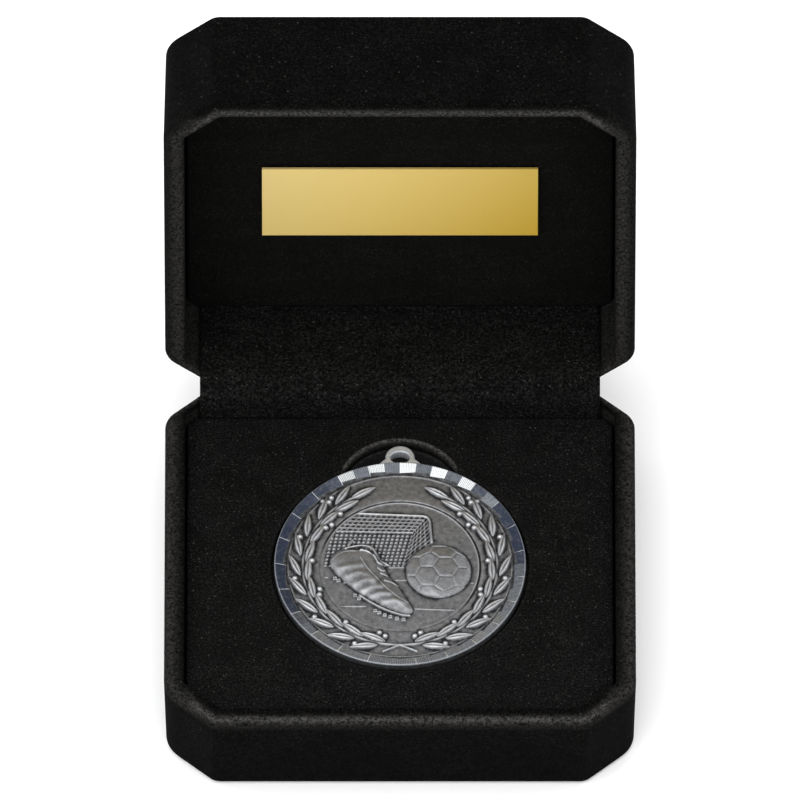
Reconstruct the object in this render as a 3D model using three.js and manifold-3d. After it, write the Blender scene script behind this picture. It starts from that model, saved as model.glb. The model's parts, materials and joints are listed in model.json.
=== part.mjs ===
// Cased medal: an octagonal presentation case, moulded and flocked, standing open on its sprung hinge.
// A round die-cast medal lies in a recessed velvet pad, and a blank plate is stuck to the lid's lining.
// Millimetres, +X right, +Y back, +Z up. The origin is the centre of the case's underside.

import * as THREE from "three";
import { mergeVertices } from "three/addons/utils/BufferGeometryUtils.js";
import Module from "manifold-3d";

const wasm = await Module();
wasm.setup();

// Case outline, a rectangle with its corners clipped
const caseWidth = 93.6;
const caseDepth = 83;
const clipWidth = 9.8; // how far a clipped corner at the front reaches along X
const clipDepth = 8.4; // how far it reaches along Y
const backClipWidth = 9.1;
const backClipDepth = 7.7;
const sideCornerRadius = 6.5; // outside, where a front clip meets the left or right side
const backCornerRadius = 4; // outside, where a back clip meets it
const endCornerRadius = 3; // outside, where a clip meets the front or the back
const innerCornerRadius = 0.8;

// The two moulded shells
const baseHeight = 20.8;
const lidHeight = 24.5;
const floorThickness = 2;
const rimWall = 4; // front, sides and front clips
const backWall = 1.8; // hinge side and back clips
const wallDraft = 0.4; // how far the outside draws in from the rim to the floor
const edgeRound = 1.2; // where the floor meets the outside
const rimCrown = 1.4; // height of the rounding along the rim's outer edge
const rimEase = 0.5; // height of the rounding along its inner edge
const crownShare = 0.36; // of the wall, taken by the outer rounding
const easeShare = 0.12; // of the wall, taken by the inner rounding
const partingGap = 0.3; // between the two rims when the case is shut
const openAngle = 95.4; // degrees, from shut to resting open

// Fits
const seatGap = 0.3; // between pieces that rest on each other
const slipFit = 0.4; // between a lining piece and the wall round it
const pressFit = 0.1; // round rivets, and between the metal hinge pieces
const pinFit = 0.08; // radial, round the hinge pin
const knuckleGap = 0.3; // along the pin, between knuckles
const overrun = 1; // how far a cutter runs past what it cuts

// Padding and lining
const trayDrop = 3.25; // from the base's rim down to the pad
const padRound = 0.6; // the rolled edge of the velvet
const frontShare = 0.61; // of the pad's spare depth, in front of the medal
const notchShare = 0.07; // of that depth, between the medal's loop and the finger notch's end
const notchRadius = 12;
const notchDepth = 6.8; // from the pad's top to the bottom of the finger notch
const panelDrop = 16.4; // from the lid's rim down to its lining
const panelThickness = 2;

// The velvet strip over the hinge
const flapFace = 5; // from the back of the case to the strip's face
const flapThickness = 0.6;
const flapFit = 0.25; // at each end of the strip
const flapTuck = 3; // how far it runs behind the pad and behind the lining
const flapBend = 1.6; // how far from a corner it starts to bend, where it crosses the open hinge

// Hinge: leaves with rolled knuckles, whose pin lies on the back edge between the rims
const hingeLength = 44;
const knuckleCount = 5;
const knuckleRadius = 1.25;
const pinRadius = 0.5;
const leafThickness = 0.6;
const leafDrop = 9; // from the pin down to the leaf's edge
const rivetDrop = 5.6; // from the pin down to the rivets
const rivetMargin = 5; // from the end of a leaf to its outer rivets
const rivetRadius = 0.6;
const rivetHeadRadius = 1.3;
const rivetHeadHeight = 0.5;
const rivetReach = 1.2; // into the wall
const springThickness = 0.4;
const springWidth = 6;
const springDrop = 7.6;
const camFlat = 1; // from the pin to each flat on the middle knuckle

// Blank plate
const plateWidth = 54.8;
const plateHeight = 19.5;
const plateThickness = 0.5;
const plateCentre = 37.4; // from the hinge line along the lid
const adhesiveThickness = 0.4;
const adhesiveInset = 1.5;
const adhesiveGap = 0.1;

// Medal
const medalRadius = 25;
const medalHeight = 3.3; // underside to the crest of the rim
const facetCount = 48; // flats cut into the rim, two to each cut, that fall from its edge towards the field
const facetWide = 2.3; // width of a cut at its wide end
const facetNarrow = 1.5;
const facetSlope = 20; // degrees
const facetSlopeStep = 2.5; // how much steeper and shallower than that the two flats of a cut are
const fieldDrop = 1.4; // from the rim's crest to the field
const rimStep = 0.25; // how far the rim's inner face slopes
const coveWidth = 1.6; // of the band beside the rim in which the field rises
const coveRise = 0.2;
const underChamfer = 0.4;
const underLip = 2; // width of the raised edge underneath
const underRecess = 0.3;
const medalProud = 0.8; // how far the rim's crest stands above the pad
const recessFit = 0.5; // round the medal in its pad

// Loop on the medal
const loopReach = 4.4; // past the medal's edge
const loopWidth = 5.9;
const loopFootWidth = 7.9;
const loopHoleWidth = 3.7;
const loopHoleHeight = 2.7;
const loopThickness = 2.2;
const loopRise = 0.7; // from the medal's underside to the loop's

// Relief: a line round the scene, a laurel wreath of two crossed branches, and the scene itself
const reliefSink = 0.3; // how far raised work is rooted in the field
const sceneRadius = 15.8;
const sceneLineWidth = 0.5;
const sceneLineHeight = 0.3;
const wreathRadius = 19.3;
const wreathGap = 17; // degrees from straight up to each branch's last leaf
const wreathCross = 9; // degrees past straight down, where the stems cross
const leafPairs = 10; // on each branch
const leafLength = 5.4;
const leafWidth = 1.7;
const leafHeight = 0.75;
const leafEdge = 0.2;
const leafSpread = 0.5; // how far a leaf's root lies from the stem
const leafTurn = 20; // degrees between a leaf and its stem
const leafPlaceShare = 0.25; // of the way along each step of the stem
const berryPlaceShare = 0.1;
const stemWidth = 0.5;
const stemHeight = 0.35;
const berryRadius = 0.55;
const berryHeight = 0.7;
const berryOffset = 1.9; // from the stem
const ballRadius = 6.5;
const ballHeight = 1.25;
const ballEdge = 0.35;
const ballX = 7.6;
const ballY = -1.7;
const goalWidth = 16.7;
const goalHeight = 12.2; // from its bar to the foot of its net
const goalShelf = 4; // how far the net's top runs forward
const goalSkew = 3.2; // how far the net leans aside over that depth
const goalX = -2.7;
const goalY = 11.8;
const postWidth = 0.55;
const postHeight = 0.6;
const cordWidth = 0.3;
const cordHeight = 0.35; // of the net's cords that run from front to back, or down
const rowHeight = 0.25; // of those that run across
const topCords = 7;
const topRows = 2;
const backCords = 8;
const backRows = 4;
const groundWidth = 0.35;
const groundHeight = 0.2;
const bootLength = 21;
const bootHeight = 1.25;
const bootEdge = 0.4;
const bootX = -13.3; // the sole at the heel
const bootY = -3.2;
const bootTurn = -36; // degrees
const studWidth = 1.1;
const studLength = 1.6;
const studHeight = 0.45;

// Roundness
const cornerSteps = 3;
const crownSteps = 3;
const knuckleSides = 14;
const rivetSides = 10;
const recessSteps = 48;
const notchSteps = 16;
const flapSteps = 4;
const loopSteps = 8;
const berrySides = 6;
const berrySteps = 2;
const ballSides = 24;
const ballSteps = 4;
const bootSteps = 40;

// Shares of a boot's length, along its sole from the heel and upwards from it
const bootOutlineShares = [
  [0, 0],
  [0.26, -0.02], // arch
  [0.52, -0.07],
  [0.72, -0.04], // ball of the foot
  [0.88, 0.02],
  [0.87, 0.1], // toe
  [0.7, 0.19],
  [0.53, 0.3],
  [0.35, 0.39], // throat
  [0.25, 0.44],
  [0.12, 0.48], // tongue
  [0.02, 0.4], // the collar's dip
  [-0.09, 0.355], // its back
  [-0.15, 0.25],
  [-0.12, 0.11],
];
const bootCentreShares = [0.3, 0.17];
const bootDomeShares = [
  [0.9, 0.66],
  [0.6, 0.92],
  [0.25, 1],
]; // how far the outline has drawn in, at each share of the height
const studPlaceShares = [
  [0.02, 0.01],
  [0.15, 0],
  [0.5, -0.07],
  [0.62, -0.06],
  [0.74, -0.03],
  [0.85, 0.01],
];
const groundShares = [-0.065, -0.265, -0.73]; // of the scene's radius, each line on the ground
const headDomeShares = [0.5, 0.9]; // of a rivet head's radius and height, where its dome bends

const velvet = { color: 0x16130f, roughness: 1, metalness: 0 };
const flock = { color: 0x1c1814, roughness: 0.95, metalness: 0 };
const foam = { color: 0x1a1a1a, roughness: 1, metalness: 0 };
const steel = { color: 0x9a9a96, roughness: 0.35, metalness: 1 };
const gilt = { color: 0xd0ac50, roughness: 0.25, metalness: 1 };
const tape = { color: 0xd8d4c8, roughness: 0.9, metalness: 0 };
const silver = { color: 0x8e8e90, roughness: 0.4, metalness: 1 };

// Derived places. In each half of the case, y = z = 0 is the pin, y falls towards the front,
// and z falls into the half, so that one set of functions makes both.
const rimLevel = -partingGap / 2;
const hingeHeight = baseHeight + partingGap / 2;
const padLevel = rimLevel - trayDrop;
const padThickness = medalHeight - medalProud; // so that the medal lies on the block
const panelLevel = rimLevel - panelDrop;
const leafInner = backWall + pressFit;
const linerBack = flapFace + seatGap;
const linerFront = rimWall + slipFit;
const backClipSlant = Math.hypot(backClipWidth, backClipDepth);
const medalTop = hingeHeight + padLevel + medalProud;
const medalBase = medalTop - medalHeight;
const fieldLevel = medalHeight - fieldDrop;
const recessRadius = medalRadius + recessFit;
const loopEnd = medalRadius + loopReach;
const spareDepth = caseDepth - linerFront - linerBack - recessRadius - loopEnd;
const medalInHalf = recessRadius + frontShare * spareDepth + linerFront - caseDepth;
const medalCentreY = medalInHalf + caseDepth / 2;
const notchOffset = loopEnd + notchShare * spareDepth - notchRadius;
const rivetSpacing = hingeLength / 2 - rivetMargin;

// Solids

// A closed solid from corner points and triangles; faces that have shrunk to a line are dropped.
function solidOf(points, faces) {
  const geometry = new THREE.BufferGeometry();
  const places = points.flatMap((p) => [p.x, p.y, p.z]);
  geometry.setAttribute("position", new THREE.Float32BufferAttribute(places, 3));
  geometry.setIndex(faces.flat());
  return weld(geometry);
}

function weld(source) {
  const geometry = source.clone();
  geometry.deleteAttribute("normal");
  geometry.deleteAttribute("uv");
  const merged = mergeVertices(geometry);
  const corners = [];
  for (let i = 0; i < merged.index.count; i += 3) {
    const face = [0, 1, 2].map((k) => merged.index.getX(i + k));
    if (new Set(face).size === 3) corners.push(...face);
  }
  const mesh = new wasm.Mesh({
    numProp: 3,
    vertProperties: merged.attributes.position.array,
    triVerts: new Uint32Array(corners),
  });
  return new wasm.Manifold(mesh);
}

function geometryOf(solid) {
  const mesh = solid.getMesh();
  const geometry = new THREE.BufferGeometry();
  geometry.setAttribute("position", new THREE.BufferAttribute(mesh.vertProperties, 3));
  geometry.setIndex(new THREE.BufferAttribute(mesh.triVerts, 1));
  geometry.computeVertexNormals();
  return geometry;
}

function union(solids) {
  return solids.reduce((all, next) => all.add(next));
}

// Joins rings of equally many points; the first and last rings are closed with caps.
function loft(rings) {
  const count = rings[0].length;
  const faces = [];
  for (let r = 0; r + 1 < rings.length; r++) {
    for (let i = 0; i < count; i++) {
      const a = r * count + i;
      const b = r * count + ((i + 1) % count);
      faces.push([a, b, b + count], [a, b + count, a + count]);
    }
  }
  const last = (rings.length - 1) * count;
  for (let i = 1; i + 1 < count; i++) {
    faces.push([0, i + 1, i], [last, last + i, last + i + 1]);
  }
  return solidOf(rings.flat(), faces);
}

// A flat piece with a hole through it; both sides are lofted, from the lowest ring to the highest.
function pierced(outerRings, holeRings) {
  const outerCount = outerRings[0].length;
  const holeCount = holeRings[0].length;
  const holeStart = outerRings.length * outerCount;
  const points = [...outerRings.flat(), ...holeRings.flat()];
  const faces = [];
  const wall = (start, count, rows, inward) => {
    for (let r = 0; r + 1 < rows; r++) {
      for (let i = 0; i < count; i++) {
        const a = start + r * count + i;
        const b = start + r * count + ((i + 1) % count);
        const pair = [[a, b, b + count], [a, b + count, a + count]];
        faces.push(...pair.map((face) => (inward ? face.reverse() : face)));
      }
    }
  };
  wall(0, outerCount, outerRings.length, false);
  wall(holeStart, holeCount, holeRings.length, true);
  const cap = (outerRow, holeRow, down) => {
    const contour = outerRings[outerRow].map((p) => new THREE.Vector2(p.x, p.y));
    const hole = holeRings[holeRow].map((p) => new THREE.Vector2(p.x, p.y));
    const place = (i) =>
      i < outerCount ? outerRow * outerCount + i : holeStart + holeRow * holeCount + (i - outerCount);
    for (const face of THREE.ShapeUtils.triangulateShape(contour, [hole])) {
      const [a, b, c] = face.map((i) => points[place(i)]);
      const turned = (b.x - a.x) * (c.y - a.y) - (b.y - a.y) * (c.x - a.x) < 0;
      const corners = face.map(place);
      faces.push(turned === down ? corners : corners.reverse());
    }
  };
  cap(0, 0, true);
  cap(outerRings.length - 1, holeRings.length - 1, false);
  return solidOf(points, faces);
}

function box(from, to) {
  const size = new THREE.Vector3().subVectors(to, from);
  const geometry = new THREE.BoxGeometry(size.x, size.y, size.z);
  geometry.translate(...new THREE.Vector3().addVectors(from, to).divideScalar(2));
  return weld(geometry);
}

// A round bar along X, Y or Z between two places on that axis.
function rod(axis, radius, from, to, sides, centre = new THREE.Vector3()) {
  const geometry = new THREE.CylinderGeometry(radius, radius, to - from, sides);
  geometry.translate(0, (from + to) / 2, 0);
  if (axis === "x") geometry.rotateZ(-Math.PI / 2);
  if (axis === "z") geometry.rotateX(Math.PI / 2);
  geometry.translate(centre.x, centre.y, centre.z);
  return weld(geometry);
}

function at(x, y, z) {
  return new THREE.Vector3(x, y, z);
}

// Case outline

// The eight sides, anticlockwise from the front: outward normal, distance from the centre, and zone.
function caseSides() {
  const halfWidth = caseWidth / 2;
  const halfDepth = caseDepth / 2;
  const straight = (x, y, out, zone) => ({ x, y, out, zone });
  const clip = (x, y, zone) => {
    const width = y > 0 ? backClipWidth : clipWidth;
    const depth = y > 0 ? backClipDepth : clipDepth;
    const slant = Math.hypot(width, depth);
    const out = (halfWidth * depth + halfDepth * width - width * depth) / slant;
    return { x: (x * depth) / slant, y: (y * width) / slant, out, zone };
  };
  return [
    straight(0, -1, halfDepth, "front"),
    clip(1, -1, "frontClip"),
    straight(1, 0, halfWidth, "side"),
    clip(1, 1, "backClip"),
    straight(0, 1, halfDepth, "back"),
    clip(-1, 1, "backClip"),
    straight(-1, 0, halfWidth, "side"),
    clip(-1, -1, "frontClip"),
  ];
}

// The outside's corner radii, all drawn towards the inner corner radius by a share.
function outerCorners(share) {
  return (zones) => {
    const besideClip = zones.includes("backClip") ? backCornerRadius : sideCornerRadius;
    const radius = zones.includes("side") ? besideClip : endCornerRadius;
    return THREE.MathUtils.lerp(radius, innerCornerRadius, share);
  };
}

function innerCorners() {
  return innerCornerRadius;
}

// The case outline with every side moved in by its zone's inset, and corners rounded by their radii.
function outline(inset, corners, z) {
  const sides = caseSides();
  return sides.flatMap((side, i) => {
    const before = sides[(i + sides.length - 1) % sides.length];
    const radius = corners([before.zone, side.zone]);
    const outBefore = before.out - inset(before.zone) - radius;
    const outSide = side.out - inset(side.zone) - radius;
    const turn = before.x * side.y - before.y * side.x;
    const x = (outBefore * side.y - outSide * before.y) / turn;
    const y = (outSide * before.x - outBefore * side.x) / turn;
    const from = Math.atan2(before.y, before.x);
    const sweep = Math.atan2(turn, before.x * side.x + before.y * side.y);
    return Array.from({ length: cornerSteps + 1 }, (_, k) => {
      const angle = from + (sweep * k) / cornerSteps;
      return at(x + radius * Math.cos(angle), y + radius * Math.sin(angle) - caseDepth / 2, z);
    });
  });
}

function wallOf(zone) {
  return zone === "back" || zone === "backClip" ? backWall : rimWall;
}

// A lining piece clears the walls, and at the back it clears the strip over the hinge.
function linerInset(zone) {
  return zone === "back" ? linerBack : wallOf(zone) + slipFit;
}

// The half-turns of a rounding, from 0 to 1, as its sine and the rest of its cosine.
function rounding(steps) {
  return Array.from({ length: steps + 1 }, (_, k) => {
    const angle = ((Math.PI / 2) * k) / steps;
    return { rise: Math.sin(angle), run: 1 - Math.cos(angle) };
  });
}

// One moulded half: up the outside from its floor, over the rim, and down the inside.
function shell(height) {
  const bottom = rimLevel - height;
  const drawn = (z) => (wallDraft * (rimLevel - z)) / height;
  const rings = [];
  for (const { rise, run } of rounding(crownSteps)) {
    const z = bottom + edgeRound * run;
    rings.push(outline(() => drawn(z) + edgeRound * (1 - rise), outerCorners(0), z));
  }
  for (const { rise, run } of rounding(crownSteps)) {
    const z = rimLevel - rimCrown * (1 - rise);
    const share = crownShare * run;
    rings.push(outline((zone) => drawn(z) + wallOf(zone) * share, outerCorners(share), z));
  }
  for (const { rise, run } of rounding(crownSteps)) {
    const z = rimLevel - rimEase * run;
    const share = 1 - easeShare * (1 - rise);
    rings.push(outline((zone) => wallOf(zone) * share, innerCorners, z));
  }
  rings.push(outline(wallOf, innerCorners, bottom + floorThickness));
  return loft(rings);
}

// Hinge

const knucklePitch = hingeLength / knuckleCount;
const middleKnuckle = (knuckleCount - 1) / 2;
const springLevel = -knuckleRadius - pressFit; // top of the spring's tongue
const leafTop = springLevel - springThickness - pressFit;
const hingeRelief = knuckleRadius + seatGap; // how far the rims are lowered for the knuckles
const springRelief = seatGap - leafTop;

function knuckleSpan(index) {
  const start = -hingeLength / 2 + index * knucklePitch;
  return [start + knuckleGap / 2, start + knucklePitch - knuckleGap / 2];
}

// The section of a leaf where it carries a knuckle: plate, flange over the wall, and rolled eye.
function leafSection() {
  const meet = Math.sqrt(knuckleRadius ** 2 - (knuckleRadius - leafThickness) ** 2);
  const start = Math.atan2(leafThickness - knuckleRadius, -meet);
  const shape = new THREE.Shape();
  shape.moveTo(0, -knuckleRadius);
  shape.lineTo(-leafInner, -knuckleRadius);
  shape.lineTo(-leafInner, -leafDrop);
  shape.lineTo(-leafInner - leafThickness, -leafDrop);
  shape.lineTo(-leafInner - leafThickness, leafThickness - knuckleRadius);
  shape.lineTo(-meet, leafThickness - knuckleRadius);
  shape.absarc(0, 0, knuckleRadius, start, -Math.PI / 2, true);
  const eye = new THREE.Path();
  eye.absarc(0, 0, pinRadius + pinFit, 0, 2 * Math.PI, false);
  shape.holes.push(eye);
  return shape;
}

// A section drawn in y and z, carried along X.
function alongX(shape, from, to, curveSegments) {
  const options = { depth: to - from, bevelEnabled: false, curveSegments };
  const geometry = new THREE.ExtrudeGeometry(shape, options);
  geometry.applyMatrix4(new THREE.Matrix4().makeBasis(at(0, 1, 0), at(0, 0, 1), at(1, 0, 0)));
  geometry.translate(from, 0, 0);
  return weld(geometry);
}

function rivetPlaces() {
  return [
    ["left", -rivetSpacing],
    ["centre", 0],
    ["right", rivetSpacing],
  ];
}

// One leaf, with the knuckles whose turn it is along the pin.
function leaf(firstKnuckle, cam) {
  const plate = box(
    at(-hingeLength / 2, -leafInner - leafThickness, -leafDrop),
    at(hingeLength / 2, -leafInner, leafTop),
  );
  const pieces = [plate];
  for (let i = firstKnuckle; i < knuckleCount; i += 2) {
    const [from, to] = knuckleSpan(i);
    const knuckle = alongX(leafSection(), from, to, knuckleSides);
    pieces.push(cam && i === middleKnuckle ? knuckle.subtract(camFlats(from, to)) : knuckle);
  }
  return rivetPlaces().reduce((made, [, x]) => made.subtract(rivetHole(x)), union(pieces));
}

// What the middle knuckle loses, so that the spring finds a flat when the case is shut and when it is open.
function camFlats(from, to) {
  const cutter = new THREE.BoxGeometry(to - from + overrun, 2 * knuckleRadius, knuckleRadius);
  cutter.translate((from + to) / 2, 0, camFlat + knuckleRadius / 2);
  const shut = cutter.clone();
  const open = cutter.clone().rotateX(-THREE.MathUtils.degToRad(openAngle));
  return weld(shut).add(weld(open));
}

function rivetHole(x) {
  const from = -leafInner - leafThickness - springThickness - overrun;
  const to = rivetReach - backWall + pressFit;
  return rod("y", rivetRadius + pressFit, from, to, rivetSides, at(x, 0, -rivetDrop));
}

// A rivet with a low domed head, resting on what it holds against the wall.
function rivet(x, held) {
  const under = -leafInner - held - pressFit;
  const profile = [
    [0, under - rivetHeadHeight],
    [rivetHeadRadius * headDomeShares[0], under - rivetHeadHeight * headDomeShares[1]],
    [rivetHeadRadius, under - rivetHeadHeight / 3],
    [rivetHeadRadius, under],
    [rivetRadius, under],
    [rivetRadius, rivetReach - backWall],
    [0, rivetReach - backWall],
  ];
  const points = profile.map(([r, y]) => new THREE.Vector2(r, y));
  const geometry = new THREE.LatheGeometry(points, rivetSides);
  geometry.translate(x, 0, -rivetDrop);
  return weld(geometry);
}

function hingePin() {
  return rod("x", pinRadius, -hingeLength / 2, hingeLength / 2, knuckleSides);
}

// A flat spring behind the base's leaf, whose tongue reaches out under the middle knuckle.
function snapSpring() {
  const inner = -leafInner - leafThickness - pressFit;
  const shape = new THREE.Shape();
  shape.moveTo(inner, -springDrop);
  shape.lineTo(inner, springLevel - springThickness);
  shape.lineTo(camFlat / 2, springLevel - springThickness);
  shape.lineTo(camFlat / 2, springLevel);
  shape.lineTo(inner - springThickness, springLevel);
  shape.lineTo(inner - springThickness, -springDrop);
  shape.closePath();
  return alongX(shape, -springWidth / 2, springWidth / 2, 1).subtract(rivetHole(0));
}

// What a shell's back wall loses to the hinge.
function hingeCut(withSpring) {
  const back = knuckleRadius + overrun;
  const front = -backWall - overrun;
  const half = hingeLength / 2 + seatGap;
  const cuts = [box(at(-half, front, -hingeRelief), at(half, back, overrun))];
  if (withSpring) {
    const spring = springWidth / 2 + seatGap;
    cuts.push(box(at(-spring, front, -springRelief), at(spring, back, overrun)));
  }
  rivetPlaces().forEach(([, x]) => cuts.push(rivetHole(x)));
  return union(cuts);
}

// Padding and lining

// The medal recess joined with the finger notch, grown by a margin.
function recessRing(margin, z) {
  const medalR = recessRadius + margin;
  const notchR = notchRadius + margin;
  const along = (medalR ** 2 - notchR ** 2 + notchOffset ** 2) / (2 * notchOffset);
  const medalAngle = Math.acos(along / medalR);
  const notchAngle = Math.acos((along - notchOffset) / notchR);
  const points = [];
  for (let i = 0; i < notchSteps; i++) {
    const angle = notchAngle - (2 * notchAngle * i) / notchSteps;
    points.push(at(notchR * Math.sin(angle), notchOffset + notchR * Math.cos(angle), z));
  }
  for (let i = 0; i < recessSteps; i++) {
    const angle = medalAngle + ((2 * Math.PI - 2 * medalAngle) * i) / recessSteps;
    points.push(at(-medalR * Math.sin(angle), medalR * Math.cos(angle), z));
  }
  return points.map((p) => p.add(at(0, medalInHalf, 0)));
}

function circleRing(radius, y, z, count) {
  return Array.from({ length: count }, (_, i) => {
    const angle = (2 * Math.PI * i) / count;
    return at(radius * Math.cos(angle), y + radius * Math.sin(angle), z);
  });
}

// The velvet-faced pad, with a rolled edge outside and round its recess.
function trayPad() {
  const bottom = padLevel - padThickness;
  const outer = [outline(linerInset, innerCorners, bottom)];
  const hole = [recessRing(0, bottom)];
  for (const { rise, run } of rounding(crownSteps)) {
    const z = padLevel - padRound * (1 - rise);
    outer.push(outline((zone) => linerInset(zone) + padRound * run, innerCorners, z));
    hole.push(recessRing(padRound * run, z));
  }
  return pierced(outer, hole);
}

// The foam block under the pad, with a round pocket below the finger notch.
function trayBlock() {
  const bottom = rimLevel - baseHeight + floorThickness + seatGap;
  const top = padLevel - padThickness - seatGap;
  const block = loft([
    outline(linerInset, innerCorners, bottom),
    outline(linerInset, innerCorners, top),
  ]);
  const pocketY = medalInHalf + notchOffset;
  const from = padLevel - notchDepth;
  const pocket = rod("z", notchRadius, from, top + overrun, recessSteps, at(0, pocketY, 0));
  return block.subtract(pocket);
}

// The covered card that lines the lid, a little crowned at its edges.
function lidPanel() {
  const rings = [outline(linerInset, innerCorners, panelLevel - panelThickness)];
  for (const { rise, run } of rounding(crownSteps)) {
    const z = panelLevel - padRound * (1 - rise);
    rings.push(outline((zone) => linerInset(zone) + padRound * run, innerCorners, z));
  }
  return loft(rings);
}

function lidFoam() {
  return loft([
    outline(linerInset, innerCorners, rimLevel - lidHeight + floorThickness + seatGap),
    outline(linerInset, innerCorners, panelLevel - panelThickness - seatGap),
  ]);
}

// A flat rectangle on the lid's lining, centred on the plate's place.
function onLining(width, height, low, thickness) {
  return box(
    at(-width / 2, -plateCentre - height / 2, low),
    at(width / 2, -plateCentre + height / 2, low + thickness),
  );
}

function adhesive() {
  const width = plateWidth - 2 * adhesiveInset;
  const height = plateHeight - 2 * adhesiveInset;
  return onLining(width, height, panelLevel + adhesiveGap, adhesiveThickness);
}

function engravingPlate() {
  const low = panelLevel + adhesiveThickness + 2 * adhesiveGap;
  return onLining(plateWidth, plateHeight, low, plateThickness);
}

// The strip over the hinge: from behind the pad, up the base's back, across to the lid, behind its lining.
function hingeFlap() {
  const middle = flapFace - flapThickness / 2;
  const tilt = THREE.MathUtils.degToRad(openAngle);
  // A place in the lid, seen from the base while the case is open.
  const inLid = (y, z) => new THREE.Vector2(y, z).rotateAround(new THREE.Vector2(), -tilt);
  const corner = rimLevel + flapBend; // so that the bends clear the walls beside them
  const turns = [
    new THREE.Vector2(-middle, padLevel - flapTuck),
    new THREE.Vector2(-middle, corner),
    inLid(-middle, -corner),
    inLid(-middle, -panelLevel + flapTuck),
  ];
  const path = [turns[0]];
  for (const i of [1, 2]) {
    const before = new THREE.Vector2().subVectors(turns[i - 1], turns[i]).setLength(flapBend);
    const after = new THREE.Vector2().subVectors(turns[i + 1], turns[i]).setLength(flapBend);
    const bend = new THREE.QuadraticBezierCurve(before.add(turns[i]), turns[i], after.add(turns[i]));
    path.push(...bend.getPoints(flapSteps));
  }
  path.push(turns[3]);
  const side = (sign) =>
    path.map((p, i) => {
      const from = path[Math.max(i - 1, 0)];
      const to = path[Math.min(i + 1, path.length - 1)];
      const along = new THREE.Vector2().subVectors(to, from).setLength(flapThickness / 2);
      return new THREE.Vector2(p.x - along.y * sign, p.y + along.x * sign);
    });
  const shape = new THREE.Shape([...side(1), ...side(-1).reverse()]);
  const behind = flapFace - flapThickness;
  const clipAt = caseWidth / 2 - backClipWidth + (behind * backClipWidth) / backClipDepth;
  const half = clipAt - (backWall * backClipSlant) / backClipDepth - flapFit;
  return alongX(shape, -half, half, 1);
}

// Medal, with its own centre and underside as its origin

// The two ends of every flat on the rim: its place round the medal, the cut's width there, and the slope.
// A cut has a steeper flat on its wide side, and the cuts on the medal's two halves are mirrored.
function flatEnds() {
  return Array.from({ length: 2 * facetCount }, (_, i) => {
    const flat = Math.floor(i / 2);
    const end = i % 2;
    const mirrored = flat >= facetCount / 2;
    const share = ((flat % 2) + end) / 2;
    const angle = (2 * Math.PI * (flat + end)) / facetCount;
    const width = THREE.MathUtils.lerp(facetWide, facetNarrow, mirrored ? 1 - share : share);
    const steep = (flat % 2 ? -1 : 1) * (mirrored ? -1 : 1);
    return { angle, width, slope: facetSlope + steep * facetSlopeStep };
  });
}

function facetRing(radius, height) {
  return flatEnds().map(({ angle }) => at(-radius * Math.sin(angle), radius * Math.cos(angle), height));
}

// The inner edges of the flats.
function cutRing() {
  return flatEnds().map(({ angle, width, slope }) => {
    const radius = medalRadius - width;
    const drop = width * Math.tan(THREE.MathUtils.degToRad(slope));
    return at(-radius * Math.sin(angle), radius * Math.cos(angle), medalHeight - drop);
  });
}

// The struck disc: a lipped underside, a rim of cut flats, and a field with a raised line round the scene.
function medalDisc() {
  const wallFoot = medalRadius - facetWide - rimStep;
  const line = (offset, rise) => facetRing(sceneRadius + offset, fieldLevel + rise);
  return loft([
    facetRing(medalRadius - underLip - rimStep, underRecess),
    facetRing(medalRadius - underLip, 0),
    facetRing(medalRadius - underChamfer, 0),
    facetRing(medalRadius, underChamfer),
    facetRing(medalRadius, medalHeight),
    cutRing(),
    facetRing(wallFoot, fieldLevel + coveRise),
    facetRing(wallFoot - coveWidth, fieldLevel),
    line(sceneLineWidth, 0),
    line(sceneLineWidth / 2, sceneLineHeight),
    line(-sceneLineWidth / 2, sceneLineHeight),
    line(-sceneLineWidth, 0),
  ]);
}

function medalLoop() {
  const topY = medalRadius + loopReach - loopWidth / 2;
  const rootY = medalRadius - facetNarrow / 2; // inside the rim, below its flats
  const footY = medalRadius - facetNarrow / 4;
  const shape = new THREE.Shape();
  shape.moveTo(-loopFootWidth / 2, rootY);
  shape.lineTo(loopFootWidth / 2, rootY);
  shape.lineTo(loopFootWidth / 2, footY);
  shape.quadraticCurveTo(loopWidth / 2, footY, loopWidth / 2, topY);
  shape.absarc(0, topY, loopWidth / 2, 0, Math.PI, false);
  shape.quadraticCurveTo(-loopWidth / 2, footY, -loopFootWidth / 2, footY);
  const hole = new THREE.Path();
  hole.absellipse(0, topY, loopHoleWidth / 2, loopHoleHeight / 2, 0, 2 * Math.PI, false, 0);
  shape.holes.push(hole);
  const options = { depth: loopThickness, bevelEnabled: false, curveSegments: loopSteps };
  const geometry = new THREE.ExtrudeGeometry(shape, options);
  geometry.translate(0, 0, loopRise);
  return weld(geometry);
}

// Turned and moved raised work, standing on the field.
function onField(solid, x, y, degrees) {
  return solid.rotate([0, 0, degrees]).translate([x, y, fieldLevel]);
}

// A laurel leaf from its root at the origin towards +Y, with a ridge along its middle.
function laurelLeaf() {
  const alongShares = [0, 0.25, 0.55, 0.82, 1];
  const widthShares = [0, 0.75, 1, 0.62, 0];
  const heightShares = [0.3, 0.8, 1, 0.7, 0.3];
  const last = alongShares.length - 1;
  const order = [...alongShares.keys(), ...[...alongShares.keys()].slice(1, last).reverse()];
  const edge = order.map((k, i) => (i <= last ? 1 : -1) * widthShares[k]);
  const ring = (widthScale, z) =>
    order.map((k, i) => at(edge[i] * widthScale * (leafWidth / 2), alongShares[k] * leafLength, z(k)));
  return loft([
    ring(1, () => -reliefSink),
    ring(1, () => leafEdge),
    ring(0, (k) => leafHeight * heightShares[k]),
  ]);
}

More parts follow.
